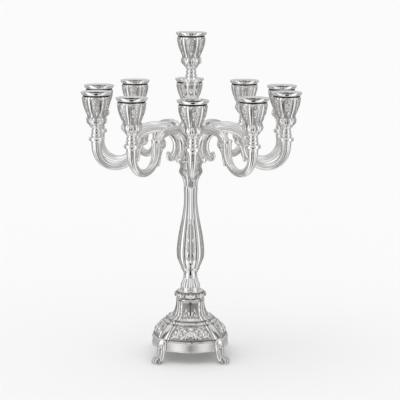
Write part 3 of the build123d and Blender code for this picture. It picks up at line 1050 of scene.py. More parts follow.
# ------------------------------------------------------------------ stem
@dataclass
class Stem:
    """The turned stem: fluted knop, panelled baluster, leafy capital, hub and centre column."""

    shop: Workshop
    base_top: float = 105.0
    knop_top: float = 126.0
    baluster_top: float = 264.5
    capital_top: float = 304.0
    hub_top: float = 366.0
    column_top: float = 424.0

    def knop(self) -> None:
        """The small spreading neck over the base, with short upright flutes."""
        low, top = self.base_top, self.knop_top
        turning = Turning(
            "silver_knop",
            [
                [(0, low), (14.2, low)],
                [(14.2, low), (15.0, 105.8), (15.0, 107.0), (14.2, 107.9)],
                [(14.2, 107.9), (14.5, 110.0), (13.6, 113.8), (11.9, 117.6), (10.8, 121.0), (10.2, 123.6)],
                [(10.2, 123.6), (11.0, 124.4), (11.0, 125.4), (10.2, top)],
                [(10.2, top), (0, top)],
            ],
            segments=192,
            spacing=0.6,
        )
        piece, where = turning.make()
        lobes = lobed(where.angle, 8)
        band = between(where.height, 109.4, 121.6, 1.4)
        chase(piece, (1.0 * lobes**0.8 - 0.6) * band)
        paint(piece, "patina_and_shade", 0.5 * (1 - lobes) ** 2 * band)
        put_up(piece, self.shop.cast, STAND, ("stem_knop",))

    def baluster(self) -> None:
        """The long pear-shaped baluster: on each side a chased double panel between plain bright bands."""
        low, top = self.knop_top, self.baluster_top
        turning = Turning(
            "silver_baluster",
            [
                [(0, low), (10.2, low)],
                [(10.2, low), (10.3, 129.0), (11.6, 132.6), (12.9, 135.4)],
                [(12.9, 135.4), (13.9, 136.2), (14.2, 137.6), (13.9, 138.8)],
                [(13.9, 138.8), (15.4, 142.4), (17.4, 146.6), (19.4, 153.6), (20.3, 162.0), (20.0, 170.0),
                 (18.3, 185.0), (15.4, 201.0), (12.5, 216.0), (10.4, 229.0), (9.4, 240.0), (9.2, 250.0),
                 (9.6, 258.0), (10.2, top)],
                [(10.2, top), (0, top)],
            ],
            segments=240,
            spacing=0.9,
        )
        piece, where = turning.make()
        local = folded(where.angle, 90)
        scale = where.radius / 20.0
        to_groove = arc(np.abs(local) - 29, where.radius)
        to_ridge = arc(np.abs(local), where.radius)
        body = between(where.height, 142.0, 260.0, 6.0)
        corner = np.clip((np.abs(local) - 31) / 14, 0, 1)
        bright_band = 1.5 * round_top(1 - corner) * scale
        grooves = -0.9 * ridge(to_groove, 0.8) * scale**0.5
        centre_ridge = 0.75 * ridge(to_ridge, 0.75) * between(where.height, 152, 262, 5)
        panel_slope = -0.7 * np.clip(to_ridge / 10, 0, 1) * (np.abs(local) < 29)
        foot_arch = between(where.height, 139.5, 147.0, 1.2) * (np.abs(local) < 28)
        half = [
            leaf((5.0, 158.0), (5.2, 168.0), 1.3, 0.5, 0.1),
            spiral((5.4, 171.5), 2.6, 270, 1.5, 0.75, 0.5),
            spiral((4.8, 178.5), 2.4, 90, -1.5, 0.75, 0.5),
            leaf((2.6, 181.0), (5.6, 187.0), 1.1, 0.5, 0.2),
            spiral((4.4, 189.6), 2.0, 270, 1.5, 0.7, 0.45),
            leaf((4.4, 193.0), (2.6, 200.0), 1.0, 0.45, -0.2),
            spiral((3.4, 203.4), 1.7, 90, -1.4, 0.6, 0.4),
            leaf((3.0, 206.0), (2.4, 216.0), 0.9, 0.4, 0.1),
            leaf((7.6, 163.0), (7.2, 168.5), 0.9, 0.4, 0.2),
            leaf((2.2, 160.0), (2.0, 166.0), 0.9, 0.4, -0.2),
        ]
        across = arc(local, where.radius)
        scrolls = ornament(mirrored(half), across, where.height) * (to_groove < -0.8)
        relief = bright_band + grooves + centre_ridge + panel_slope
        chase(piece, relief * body + scrolls + 0.35 * foot_arch)
        panel = between(where.height, 154, 214, 3) * (to_groove < -0.8)
        paint(piece, "ground", panel * bare(scrolls, 0.3) * 0.8)
        worn = body * 0.65 * ridge(to_groove, 0.9) + 0.30 * panel * bare(scrolls, 0.35)
        paint(piece, "patina_and_shade", worn + 0.35 * body * ridge(to_ridge - 1.4, 0.6))
        put_up(piece, self.shop.chased, STAND, ("stem_baluster",))

    def capital(self) -> None:
        """The leafy bell at the top of the baluster, with a swelling ring half way."""
        low, top = self.baluster_top, self.capital_top
        turning = Turning(
            "silver_capital",
            [
                [(0, low), (10.2, low)],
                [(10.2, low), (10.4, 270.0), (11.0, 274.6), (13.6, 280.6)],
                [(13.8, 280.6), (15.6, 283.6), (17.2, 286.6), (16.9, 289.6), (15.9, 291.4)],
                [(15.9, 291.4), (16.6, 292.4), (16.2, 293.6)],
                [(16.2, 293.6), (16.4, 297.0), (18.0, 301.2), (19.6, 303.0)],
                [(19.6, 303.0), (20.4, 303.5), (20.2, top)],
                [(20.2, top), (0, top)],
            ],
            segments=192,
            spacing=0.7,
        )
        piece, where = turning.make()
        across = arc(folded(where.angle, 45, 22.5), where.radius)
        leaves = [leaf((0.0, 264.8), (0.0, 286.5), 3.0, 1.1)]
        veins = [leaf((0.3, 272.0), (2.8, 281.0), 0.8, 0.5), leaf((0.3, 276.0), (3.0, 286.0), 0.8, 0.5)]
        upper = [leaf((0.0, 293.8), (0.0, 303.0), 2.2, 0.8)]
        raised = ornament(leaves + upper, across, where.height)
        raised = raised + ornament(mirrored(veins), across, where.height) * 0.6
        lobes = lobed(where.angle, 4)
        bulge = 0.6 * lobes * between(where.height, 283.0, 291.0, 1.5)
        outer = (where.radius > 9.8).astype(float)
        chase(piece, (raised + bulge) * outer)
        paint(piece, "ground", (1.6 - np.clip(raised / 0.6, 0, 1)) * outer)
        paint(piece, "patina_and_shade", 0.4 * bare(raised, 0.5) * outer * between(where.height, 268, 302, 2))
        put_up(piece, self.shop.chased, STAND, ("stem_capital",))

    def hub(self) -> None:
        """The body that the arms stand on, reeded between the arms, with a waisted neck above."""
        low, top = self.capital_top, self.hub_top
        turning = Turning(
            "silver_hub",
            [
                [(0, low), (19.8, low)],
                [(19.8, low), (20.2, 305.2), (19.2, 306.4)],
                [(19.2, 306.4), (17.6, 309.0), (17.4, 313.0), (18.8, 317.6), (19.8, 322.0)],
                [(19.8, 322.0), (20.0, 337.0), (19.8, 351.0)],
                [(19.8, 351.0), (20.6, 352.0), (20.6, 353.4), (19.6, 354.4)],
                [(19.6, 354.4), (18.2, 356.4), (16.0, 360.4), (14.2, 364.6)],
                [(14.2, 364.6), (14.4, 365.4), (13.8, top)],
                [(13.8, top), (0, top)],
            ],
            segments=200,
            spacing=0.8,
        )
        piece, where = turning.make()
        reeds = lobed(where.angle, ARM_COUNT)
        band = between(where.height, 309.0, 349.0, 2.5) + between(where.height, 356.5, 363.0, 1.2)
        outer = (where.radius > 12).astype(float)
        chase(piece, (0.8 * reeds - 0.5) * band * outer)
        paint(piece, "patina_and_shade", 0.5 * (1 - reeds) ** 2 * band * outer)
        put_up(piece, self.shop.cast, STAND, ("branch_hub",))

    def column(self) -> None:
        """The fluted column that lifts the centre light."""
        low, top = self.hub_top, self.column_top
        turning = Turning(
            "silver_column",
            [
                [(0, low), (13.4, low)],
                [(13.4, low), (14.0, 367.0), (13.2, 368.4)],
                [(13.2, 368.4), (11.0, 371.6), (9.2, 378.0), (8.6, 386.0), (8.4, 394.0), (8.8, 402.0),
                 (9.8, 409.0), (10.8, 415.0), (11.0, 418.4)],
                [(11.0, 418.4), (11.8, 419.2), (11.6, 420.4), (10.9, 421.0)],
                [(10.9, 421.0), (12.4, 422.4), (13.6, 423.4), (13.8, top)],
                [(13.8, top), (0, top)],
            ],
            segments=168,
            spacing=0.7,
        )
        piece, where = turning.make()
        band = between(where.height, 372.0, 417.5, 2.0) * (where.radius > 7)
        bar = round_top(folded(where.angle, 60, 30) / 12)
        across = arc(folded(where.angle, 60), where.radius)
        stems = [leaf((0.0, start), (0.0, start + 8.5), 1.3, 0.6) for start in (376.0, 386.0, 396.0, 406.0)]
        sprays = [leaf((1.0, start), (2.6, start + 5.0), 0.8, 0.5) for start in (380.0, 390.0, 400.0, 409.0)]
        raised = ornament(stems + mirrored(sprays), across, where.height)
        chase(piece, (1.0 * bar - 0.3 + raised * (bar < 0.1)) * band)
        paint(piece, "patina_and_shade", 0.5 * bare(raised, 0.3) * (bar < 0.1) * band)
        put_up(piece, self.shop.cast, STAND, ("centre_column",))

    def build(self) -> None:
        """Makes the whole stem."""
        self.knop()
        self.baluster()
        self.capital()
        self.hub()
        self.column()


# ------------------------------------------------------------------ arms
@dataclass
class Arms:
    """The ten cast arms: rising arch, scroll bracket, stepped joint with a volute, and hanging loop."""

    shop: Workshop
    crest: Point = (50.0, 355.5)
    rise_radius: float = 36.0
    fall_radius: float = 70.0
    fall_degrees: float = 18.0
    turn_radius: float = 23.0
    ring_radius: float = 147.0
    root_reach: float = 17.5
    step_top: float = 346.0
    top: float = 338.4
    tube: float = 12.4
    lobes: int = 8

    def _reeds(self, where: Survey) -> Array:
        """The reeding round the tube: 1 on the crowns and 0 in the valleys."""
        return np.abs(np.sin(np.radians(where.angle) * self.lobes / 2))

    def _tube(self) -> tuple[bpy.types.Object, Point]:
        """The reeded tube from hub to cup.

        Returns:
            The tube and the point on the leg's axis where the loop starts.
        """
        rise = math.degrees(math.asin((self.crest[0] - self.root_reach) / self.rise_radius))
        start = (self.root_reach, self.crest[1] - self.rise_radius * (1 - math.cos(math.radians(rise))))
        fall = math.radians(self.fall_degrees)
        leg = (
            self.crest[0] + self.fall_radius * math.sin(fall) + self.turn_radius * (1 - math.sin(fall)),
            self.crest[1] - self.fall_radius * (1 - math.cos(fall)) - self.turn_radius * math.cos(fall),
        )
        loop_radius = (self.ring_radius - leg[0]) / 2
        bar = Bar(
            "arm_tube",
            start,
            rise,
            [
                Bend(self.rise_radius, -rise),
                Bend(self.fall_radius, -self.fall_degrees),
                Bend(self.turn_radius, self.fall_degrees - 90),
                Bend(loop_radius, 180),
                Bend(0, length=self.top - leg[1]),
            ],
            width=self.tube,
            thickness=self.tube,
            segments=64,
        )
        piece, where = bar.make()
        total = float(where.run.max())
        reed = self._reeds(where)
        arch_end = total - math.pi * loop_radius - (self.top - leg[1])
        body = between(where.run, 3, total - 4, 4)
        flare = 2.0 * np.clip((where.run - (total - 30)) / 30, 0, 1) ** 1.6
        leg_swell = 0.9 * ridge(where.run - arch_end, 14)
        slim = -0.7 * ridge(where.run - (arch_end + math.pi * loop_radius * 0.5), 26)
        sheath = ornament(self._sheath(), np.radians(where.angle) * self.tube / 2, where.run)
        bare = 1 - between(where.run, 0, 30, 5) * (np.abs(where.angle) < 75)
        chase(piece, (0.5 * reed**0.6 - 0.3) * body * bare + sheath + flare + leg_swell + slim)
        paint(piece, "patina_and_shade", 0.32 * (1 - reed) ** 2 * body * bare + 0.40 * (1 - bare) * (sheath < 0.3))
        return piece, leg

    def _step(self, leg: Point) -> bpy.types.Object:
        """The flat-topped ring where the arch lands on the leg."""
        top = self.step_top
        ring = Turning(
            "arm_step",
            [
                [(0, leg[1] - 1), (6.4, leg[1] - 1)],
                [(6.4, leg[1] - 1), (6.9, leg[1] + 5), (7.3, top - 4.4)],
                [(7.3, top - 4.4), (7.8, top - 3.6), (8.3, top - 2.2), (8.2, top - 0.9), (7.7, top - 0.1)],
                [(7.7, top - 0.1), (5.4, top)],
                [(5.4, top), (0, top)],
            ],
            segments=64,
            spacing=0.6,
        )
        piece, where = ring.make()
        reed = self._reeds(where)
        band = between(where.height, leg[1], top - 5.5, 2) * (where.radius > 6)
        chase(piece, (0.9 * reed**0.75 - 0.5) * band)
        points = points_of(piece)
        points[:, 0] += leg[0]
        move_points(piece, points)
        return piece

    def _bracket(self) -> bpy.types.Object:
        """The C-scroll under the arch beside the hub, ending in an outward curl."""
        bar = Bar(
            "arm_bracket",
            (38.3, 352.4),
            202,
            [
                Bend(26.5, 70, swell=1.0),
                Bend(26.5, 42, swell=0.74),
                Bend(3.6, 120, swell=0.80),
            ],
            width=9.4,
            thickness=12.2,
            segments=48,
            step=0.9,
        )
        piece, where = bar.make()
        to_side = arc(np.abs(where.angle) - 102, 4.8)
        body = between(where.run, 4, 54, 4)
        chase(piece, (0.5 - 1.3 * ridge(to_side, 1.5)) * body)
        paint(piece, "patina_and_shade", 0.35 * ridge(to_side, 1.1) * body)
        return join([piece, self._knob((32.6, 310.4), 2.6, 10.8)], "arm_bracket")

    def _knob(self, centre: Point, radius: float, width: float) -> bpy.types.Object:
        """A turned disc or button lying across the arm, round a scroll's eye."""
        half = width / 2
        pin = Turning(
            "scroll_eye",
            [
                [(0, -half), (0.45 * radius, -half + 0.1), (0.5 * radius, -half + 0.7)],
                [(0.5 * radius, -half + 0.7), (0.94 * radius, -half + 1.0), (radius, 0.3 - half / 2)],
                [(radius, 0.3 - half / 2), (radius, half / 2 - 0.3)],
                [(radius, half / 2 - 0.3), (0.94 * radius, half - 1.0), (0.5 * radius, half - 0.7)],
                [(0.5 * radius, half - 0.7), (0.45 * radius, half - 0.1), (0, half)],
            ],
            segments=48 if radius > 5 else 28,
            spacing=0.6,
        ).build()
        pin.rotation_euler.x = math.pi / 2
        pin.location = Vector((centre[0], 0, centre[1])) * MM
        settle(pin)
        return pin

    def _volute(self, leg: Point) -> bpy.types.Object:
        """The round shoulder scroll on the hub side of the leg: a disc with a wound groove on each face."""
        eye = (leg[0] - 11.8, self.step_top - 7.4)
        disc = self._knob(eye, 7.8, 9.6)
        points, pitch = points_of(disc), 3.4
        out, up = points[:, 0] - eye[0], points[:, 2] - eye[1]
        across = np.hypot(out, up)
        wound = folded(across - np.degrees(np.arctan2(up, out)) / 360 * pitch, pitch)
        on_face = (np.abs(points[:, 1]) > 3.2) & (across > 1.5)
        chase(disc, -0.7 * ridge(wound, 0.7) * on_face)
        paint(disc, "patina_and_shade", 0.4 * ridge(wound, 0.6) * on_face)
        root = Bar(
            "volute_root",
            (leg[0] - 3.0, leg[1] - 22.0),
            97,
            [Bend(0, length=12.0, swell=1.3), Bend(30, 24, swell=1.25)],
            width=7.0,
            thickness=5.6,
            segments=32,
            step=1.0,
        ).build()
        return join([disc, root, self._knob(eye, 2.4, 10.8)], "arm_volute")

    def _sheath(self) -> list[Stroke]:
        """The leaf that lies over the arch from the hub: round the tube and along it."""
        sides = [leaf((0.6, start), (5.4, start + 7.5), 1.5, 0.9, 0.15) for start in (4.0, 11.0, 18.0, 25.0)]
        return mirrored(sides) + [leaf((0.0, 2.0), (0.0, 37.0), 1.4, 1.1)]

    def build(self) -> None:
        """Makes one arm and sets ten of them round the hub."""
        tube, leg = self._tube()
        parts = [tube, self._step(leg), self._bracket(), self._volute(leg)]
        pattern = join(parts, "arm_pattern")
        for index in range(ARM_COUNT):
            tag, turn = f"arm_{index + 1:02d}", ARM_STEP * index - 90.0
            arm = placed_copy(pattern, f"silver_{tag}", turn, Vector((0, 0, 0)))
            put_up(arm, self.shop.cast, STAND, (tag,))
        discard(pattern)


# ------------------------------------------------------------------ lights
@dataclass
class Lights:
    """The eleven lights: a socket ring, a chased cup and a lift-out insert in each."""

    shop: Workshop
    ring_radius: float = 147.0
    arm_rim: float = 413.4
    centre_rim: float = 497.4
    cup_depth: float = 67.2
    socket_height: float = 6.2
    panel_half_degrees: float = 21.0
    bar_half_degrees: float = 8.0
    knop_drop: float = 43.4
    stud_hole: float = 2.7
    # How far each cup was screwed on, in degrees from having a flute at the front of its arm
    screwed: tuple[float, ...] = (24.0, -18.0, 9.0, 21.0, -6.0, 30.0, 2.0, -13.0, 17.0, -18.0, 22.0)

    def _panel_ornament(self) -> list[Stroke]:
        """A flower over a stem of small scrolls: across the panel and down from the lip."""
        return [
            *rosette((0.0, -12.0), 6, 2.9, 1.0, 0.85),
            spiral((-1.9, -17.6), 2.3, 80, 1.3, 0.72, 0.8),
            spiral((1.9, -21.4), 2.1, 120, -1.3, 0.72, 0.8),
            spiral((-1.4, -25.2), 1.8, 80, 1.3, 0.68, 0.75),
            leaf((0.4, -27.4), (0.9, -35.0), 1.0, 0.8, 0.1),
            leaf((0.6, -15.6), (3.7, -17.6), 0.9, 0.7, 0.2),
            leaf((-0.6, -20.4), (-3.8, -22.0), 0.9, 0.7, -0.2),
            leaf((0.6, -24.2), (3.2, -26.0), 0.8, 0.7, 0.2),
            leaf((-3.2, -9.6), (-4.8, -14.5), 0.75, 0.6, 0.1),
            leaf((3.2, -9.6), (4.8, -14.5), 0.75, 0.6, -0.1),
        ]

    def _cup(self) -> bpy.types.Object:
        """One cup with its lip level at height 0, a flute at its front."""
        depth, hole = self.cup_depth, self.stud_hole
        turning = Turning(
            "cup_pattern",
            [
                [(hole, -depth), (9.2, -depth)],
                [(9.2, -depth), (7.4, -66.4)],
                [(7.4, -66.4), (8.2, -65.4), (8.5, -63.9), (8.1, -62.4), (6.9, -61.2)],
                [(6.9, -61.2), (7.5, -60.0), (7.8, -58.5), (7.5, -57.1), (6.7, -56.2)],
                [(6.7, -56.2), (6.9, -54.9), (8.1, -52.8), (10.2, -50.2), (12.6, -47.4), (14.2, -44.6),
                 (14.6, -42.4), (14.1, -39.8), (13.0, -37.6)],
                [(13.0, -37.6), (12.6, -35.8), (13.0, -34.0), (13.9, -31.8), (16.2, -26.6), (18.2, -21.0),
                 (19.6, -15.2), (20.2, -9.8), (20.3, -6.4)],
                [(20.3, -6.4), (19.5, -6.0), (19.4, -5.3), (20.0, -4.9)],
                [(20.0, -4.9), (19.1, -4.9)],
                [(19.1, -4.9), (18.9, -9.0), (17.6, -16.0), (15.6, -22.4), (13.8, -26.8), (13.2, -28.4)],
                [(13.2, -28.4), (hole, -28.4)],
                [(hole, -28.4), (hole, -depth)],
            ],
            segments=216,
            spacing=0.62,
        )
        piece, where = turning.make()
        outer = (where.run < turning.run_at(20.3, -6.4)).astype(float) * (where.radius > 6)
        flute = folded(where.angle, 60)
        panel = folded(where.angle, 60, 30)
        mm_per_degree = np.pi / 180 * where.radius
        across = panel * mm_per_degree
        # The panel is a tall shield with an arched top; edge is how far inside its border a point lies
        half_width = self.panel_half_degrees * mm_per_degree
        arch_top = -7.4 - 3.4 * (across / half_width) ** 2
        edge = np.minimum(half_width - np.abs(across), arch_top - where.height)
        body = between(where.height, -37.2, -6.8, 0.8) * outer
        inside = between(edge, 0.4, 99, 0.4) * body
        border = 0.75 * ridge(edge, 0.6) * body
        bar_half = self.bar_half_degrees
        fluting = 1.05 * round_top(flute / bar_half) * between(where.height, -46.0, -9.0, 1.8) * outer
        valley = -0.35 * ridge(np.abs(flute) - bar_half - 1.5, 1.6) * body
        strokes = ornament(self._panel_ornament(), across, where.height) * inside
        knop_band = between(where.height, -48.6, -38.2, 2.0) * outer
        lobe = lobed(where.angle, 6)
        above = where.height + self.knop_drop
        pad = np.clip(1 - (folded(where.angle, 30, 15) / 10.5) ** 2 - (above / 6.4) ** 2, 0, 1)
        stud = np.clip(1 - (flute / 7.5) ** 2 - (above / 5.0) ** 2, 0, 1)
        knop = (0.6 * np.sqrt(pad) + 0.3 * np.sqrt(stud) - 0.25) * knop_band
        vein = -0.5 * ridge(across, 0.5) * np.sqrt(pad) * knop_band
        skirt = 0.35 * lobe * between(where.height, -53.6, -50.2, 1.0) * outer
        chase(piece, border + fluting + valley + strokes + knop + vein + skirt)
        plain = bare(strokes, 0.35)
        paint(piece, "ground", inside * plain + 0.35 * body + 0.3 * knop_band)
        beside = ridge(np.abs(flute) - bar_half - 1.0, 1.2) * body
        gaps = np.clip(1 - (pad + stud) * 7, 0, 1) * knop_band
        # Painted shadow: the groove under the lip is painted dark where the lip's shadow falls
        painted_lip_shadow = between(where.height, -6.6, -4.0, 0.4) * (where.radius > 19)
        worn = 0.34 * inside * plain + 0.45 * beside + 0.4 * gaps + 0.4 * ridge(across, 0.5) * pad
        paint(piece, "patina_and_shade", worn + painted_lip_shadow)
        return piece

    def _insert(self) -> bpy.types.Object:
        """One insert with its lip level at height 0: broad sloping lip and closed candle tube."""
        turning = Turning(
            "insert_pattern",
            [
                [(0, -27.0), (12.2, -27.0)],
                [(12.2, -27.0), (12.6, -26.6), (12.6, -4.7)],
                [(12.6, -4.7), (20.0, -4.7)],
                [(20.0, -4.7), (20.9, -4.4), (21.8, -3.4), (22.4, -2.2), (22.8, -1.2)],
                [(22.8, -1.2), (22.9, -0.6), (22.7, -0.15), (22.2, 0.0)],
                [(22.2, 0.0), (21.2, -0.05), (20.6, -0.45)],
                [(20.6, -0.45), (17.0, -0.95), (13.2, -1.45)],
                [(13.2, -1.45), (12.2, -1.6), (11.7, -2.3)],
                [(11.7, -2.3), (11.6, -25.6)],
                [(11.6, -25.6), (11.0, -26.0), (0, -26.0)],
            ],
            segments=144,
            spacing=0.6,
        )
        piece, where = turning.make()
        # Painted shade: the inside of the candle tube is painted dark, as shade deep in the tube
        paint(piece, "patina_and_shade", (where.radius < 11.9) * (where.height < -1.8))
        return piece

    def _ring(self) -> bpy.types.Object:
        """The smooth round ring between an arm and its cup, its foot at height 0."""
        top, hole = self.socket_height, self.stud_hole
        return Turning(
            "arm_ring",
            [
                [(hole, 0), (8.9, 0)],
                [(8.9, 0), (10.6, 0.6), (11.5, 2.0), (11.7, 3.4), (11.4, 4.8), (10.4, 6.0), (9.0, top + 0.4)],
                [(9.0, top + 0.4), (hole, top + 0.4)],
                [(hole, top + 0.4), (hole, 0)],
            ],
            segments=96,
            spacing=0.5,
        ).build()

    def _skirt(self) -> bpy.types.Object:
        """The trumpet-shaped skirt under the centre cup, its foot at height 0."""
        top, hole = self.socket_height, self.stud_hole
        return Turning(
            "centre_skirt",
            [
                [(hole, 0), (14.4, 0)],
                [(14.4, 0), (15.1, 0.3), (15.2, 0.9), (14.5, 1.4)],
                [(14.5, 1.4), (12.4, 2.4), (10.8, 3.8), (9.8, 5.2), (9.4, top)],
                [(9.4, top), (hole, top)],
                [(hole, top), (hole, 0)],
            ],
            segments=96,
            spacing=0.5,
        ).build()

    def build(self) -> None:
        """Sets one light on each arm and one on the centre column."""
        cup, insert = self._cup(), self._insert()
        rings = {True: self._ring(), False: self._skirt()}
        for number, screwed in enumerate(self.screwed):
            on_arm = number > 0
            turn = ARM_STEP * (number - 1) if on_arm else 0.0
            radius = self.ring_radius if on_arm else 0.0
            rim = self.arm_rim if on_arm else self.centre_rim
            angle = math.radians(turn)
            place = Vector((radius * math.sin(angle), -radius * math.cos(angle), rim))
            tag = f"{number:02d}"
            copy = placed_copy(cup, f"silver_cup_{tag}", turn + screwed, place)
            put_up(copy, self.shop.chased, STAND, (f"cup_{tag}",))
            copy = placed_copy(insert, f"silver_insert_{tag}", turn, place)
            put_up(copy, self.shop.mirror, f"insert_{tag}", (f"insert_{tag}",))
            below = place - Vector((0, 0, self.cup_depth + self.socket_height))
            copy = placed_copy(rings[on_arm], f"silver_ring_{tag}", turn, below)
            put_up(copy, self.shop.mirror, STAND, (f"socket_{tag}",))
        for pattern in (cup, insert, *rings.values()):
            discard(pattern)


@dataclass
class Hardware:
    """The steel pieces inside the stem, which keep their CAD shape."""

    shop: Workshop
    nodes: tuple[str, ...] = ("anchor_plate", "tie_rod", "tie_rod_nut", "cup_studs")

    def build(self) -> None:
        """Gives each steel piece its finish."""
        for name in self.nodes:
            dress(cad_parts[name], self.shop.steel)
            log.info("%s keeps its CAD shape", name)


# ------------------------------------------------------------------ studio
@dataclass(frozen=True)
class Patch:
    """A part of the tent with its own brightness.

    Start and end are degrees round from the camera's side, positive to the right; bottom and top are
    sines of the height angle.
    """

    level: float
    start: float
    end: float
    bottom: float = -1.2
    top: float = 1.2
    soft: float = 4.0


@dataclass
class Studio:
    """A pale floor, a tent of lighter and darker patches, a broad soft light and the camera."""

    distance: float = 2200.0
    height: float = 658.8
    side_degrees: float = 1.0
    pitch_degrees: float = 10.7
    pan_degrees: float = 0.37
    roll_degrees: float = 0.3
    lens: float = 132.5
    backdrop: str = "#FAFAFA"
    tent_colour: str = "#FEFEFF"
    floor_size: float = 24.0
    floor_grey: float = 0.86
    floor_glow: float = 0.05
    ambient: float = 0.94
    key_power: float = 0.42
    walls: float = 0.62
    level_soft: float = 0.05
    patches: tuple[Patch, ...] = (
        Patch(0.72, -180, 180, bottom=-1.3, top=-0.35, soft=1.0),
        Patch(0.50, 100, 182, bottom=-0.76, top=-0.05),
        Patch(0.50, -182, -100, bottom=-0.76, top=-0.05),
        Patch(1.00, -180, 180, bottom=-1.3, top=-0.76, soft=1.0),
        Patch(0.80, -180, 180, bottom=0.62, soft=1.0),
        Patch(0.62, -44, 44, bottom=-0.9, top=0.9),
        Patch(0.82, -44, 44, bottom=-1.3, top=-0.32),
        Patch(0.20, -172, -150, bottom=-0.6, top=0.05),
        Patch(0.20, 150, 172, bottom=-0.6, top=0.05),
        Patch(1.35, -80, -42, bottom=-0.75, top=0.85, soft=5.0),
        Patch(1.15, 44, 82, bottom=-0.75, top=0.85, soft=5.0),
        Patch(0.16, -104, -90, bottom=-0.9, top=0.8, soft=3.0),
        Patch(0.16, 92, 106, bottom=-0.9, top=0.8, soft=3.0),
        Patch(0.28, 26, 34, bottom=-0.8, top=0.7, soft=3.0),
        Patch(0.01, -20, 20, bottom=-0.94, top=-0.34, soft=2.0),
        Patch(0.10, -8, 8, bottom=-0.34, top=0.36, soft=2.0),
        Patch(1.05, -9, 1, bottom=0.02, top=0.30, soft=2.0),
    )

    def floor(self) -> None:
        """The pale sweep; the silver mirrors the tent's lower half in its place."""
        start_clean()
        bpy.ops.mesh.primitive_plane_add(size=self.floor_size)
        floor = bpy.context.object
        floor.name = "floor"
        material = bpy.data.materials.new("studio_paper")
        tree = empty_tree(material)
        paper = add_node(tree, "ShaderNodeBsdfDiffuse", {}, {"Color": (*[self.floor_grey] * 3, 1)})
        glow = add_node(tree, "ShaderNodeEmission", {}, {"Color": (1, 1, 1, 1), "Strength": self.floor_glow})
        both = add_node(tree, "ShaderNodeAddShader", {}, {0: paper.outputs[0], 1: glow.outputs[0]})
        add_node(tree, "ShaderNodeOutputMaterial", {}, {"Surface": both.outputs[0]})
        floor.visible_glossy = False
        floor.data.materials.append(material)

    def surround(self) -> None:
        """The tent that the silver mirrors: grey walls with each patch laid over the ones before it."""
        world = bpy.data.worlds.new("studio_tent")
        bpy.context.scene.world = world
        tree = empty_tree(world)
        direction = add_node(tree, "ShaderNodeTexCoord").outputs["Generated"]
        x, y, z = add_node(tree, "ShaderNodeSeparateXYZ", {}, {0: direction}).outputs

        def maths(operation: str, *values: float | bpy.types.NodeSocket) -> bpy.types.NodeSocket:
            """One arithmetic step on the direction."""
            inputs = dict(enumerate(values))
            return add_node(tree, "ShaderNodeMath", {"operation": operation}, inputs).outputs[0]

        def step(value: bpy.types.NodeSocket, at: float, soft: float, rising: bool) -> bpy.types.NodeSocket:
            """A smooth step up to 1, or down to 0, where the value passes a place."""
            return add_node(
                tree,
                "ShaderNodeMapRange",
                {"interpolation_type": "SMOOTHSTEP"},
                {
                    "Value": value,
                    "From Min": at - soft,
                    "From Max": at + soft,
                    "To Min": float(not rising),
                    "To Max": float(rising),
                },
            ).outputs["Result"]

        # Angle round the tent in degrees from the camera's side, positive to the right
        turn = maths("DEGREES", maths("ARCTAN2", x, maths("MULTIPLY", y, -1.0)))
        level: bpy.types.NodeSocket | float = self.walls
        for patch in self.patches:
            rise = step(turn, patch.start, patch.soft, rising=True)
            fall = step(turn, patch.end, patch.soft, rising=False)
            bottom = step(z, patch.bottom, self.level_soft, rising=True)
            top = step(z, patch.top, self.level_soft, rising=False)
            cover = maths("MULTIPLY", maths("MULTIPLY", rise, fall), maths("MULTIPLY", bottom, top))
            change = maths("MULTIPLY", maths("SUBTRACT", patch.level, level), cover)
            level = maths("ADD", level, change)
        rays = add_node(tree, "ShaderNodeLightPath")
        fill = add_node(
            tree,
            "ShaderNodeMix",
            {"data_type": "FLOAT"},
            {0: rays.outputs["Is Diffuse Ray"], 2: level, 3: self.ambient},
        )
        white = add_node(
            tree,
            "ShaderNodeMix",
            {"data_type": "RGBA"},
            {0: rays.outputs["Is Diffuse Ray"], 6: linear(self.tent_colour), 7: (1, 1, 1, 1)},
        )
        lit = {"Color": white.outputs[2], "Strength": fill.outputs[0]}
        tent = add_node(tree, "ShaderNodeBackground", {}, lit).outputs[0]
        seen = {"Color": linear(self.backdrop), "Strength": 1.0}
        plain = add_node(tree, "ShaderNodeBackground", {}, seen).outputs[0]
        both = {0: rays.outputs["Is Camera Ray"], 1: tent, 2: plain}
        mixed = add_node(tree, "ShaderNodeMixShader", {}, both)
        add_node(tree, "ShaderNodeOutputWorld", {}, {"Surface": mixed.outputs[0]})

    def key(self) -> None:
        """A very broad light from the upper left that lays a soft shadow to the right."""
        light = bpy.data.lights.new("key", "SUN")
        light.energy = self.key_power
        light.angle = math.radians(45)
        lamp = bpy.data.objects.new("key", light)
        lamp.rotation_euler = Vector((0.6, 0.15, -1.6)).to_track_quat("-Z", "Y").to_euler()
        lamp.visible_glossy = False
        bpy.context.scene.collection.objects.link(lamp)

    def camera(self) -> None:
        """The long-lens camera, slightly above and looking a little down."""
        data = bpy.data.cameras.new("camera")
        data.lens = self.lens
        data.sensor_width = 36.0
        data.clip_end = 50.0
        camera = bpy.data.objects.new("camera", data)
        side = math.radians(self.side_degrees)
        place = (-math.sin(side) * self.distance, -math.cos(side) * self.distance, self.height)
        camera.location = Vector(place) * MM
        pan = Matrix.Rotation(math.radians(-self.side_degrees - self.pan_degrees), 3, "Z")
        tilt = Matrix.Rotation(math.radians(90 - self.pitch_degrees), 3, "X")
        roll = Matrix.Rotation(math.radians(self.roll_degrees), 3, "Z")
        camera.rotation_euler = (pan @ tilt @ roll).to_euler()
        bpy.context.scene.collection.objects.link(camera)
        bpy.context.scene.camera = camera

    def build(self) -> None:
        """Sets up the floor, the light and the camera."""
        self.floor()
        self.surround()
        self.key()
        self.camera()
        bpy.context.scene.view_settings.view_transform = "Standard"


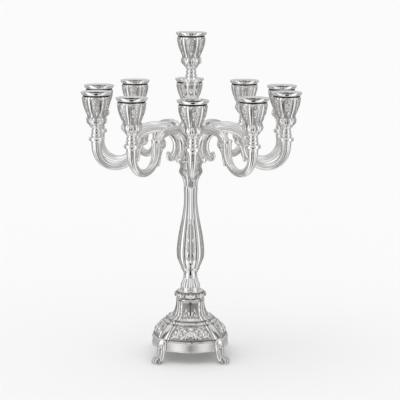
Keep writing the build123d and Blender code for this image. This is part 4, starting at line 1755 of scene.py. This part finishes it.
def main() -> None:
    """Builds the studio and every piece of the candelabrum."""
    logging.basicConfig(level=logging.INFO, format="%(name)s: %(message)s")
    shop = Workshop()
    Studio().build()
    Base(shop).build()
    Stem(shop).build()
    Arms(shop).build()
    Lights(shop).build()
    Hardware(shop).build()


if __name__ == "__main__":
    main()
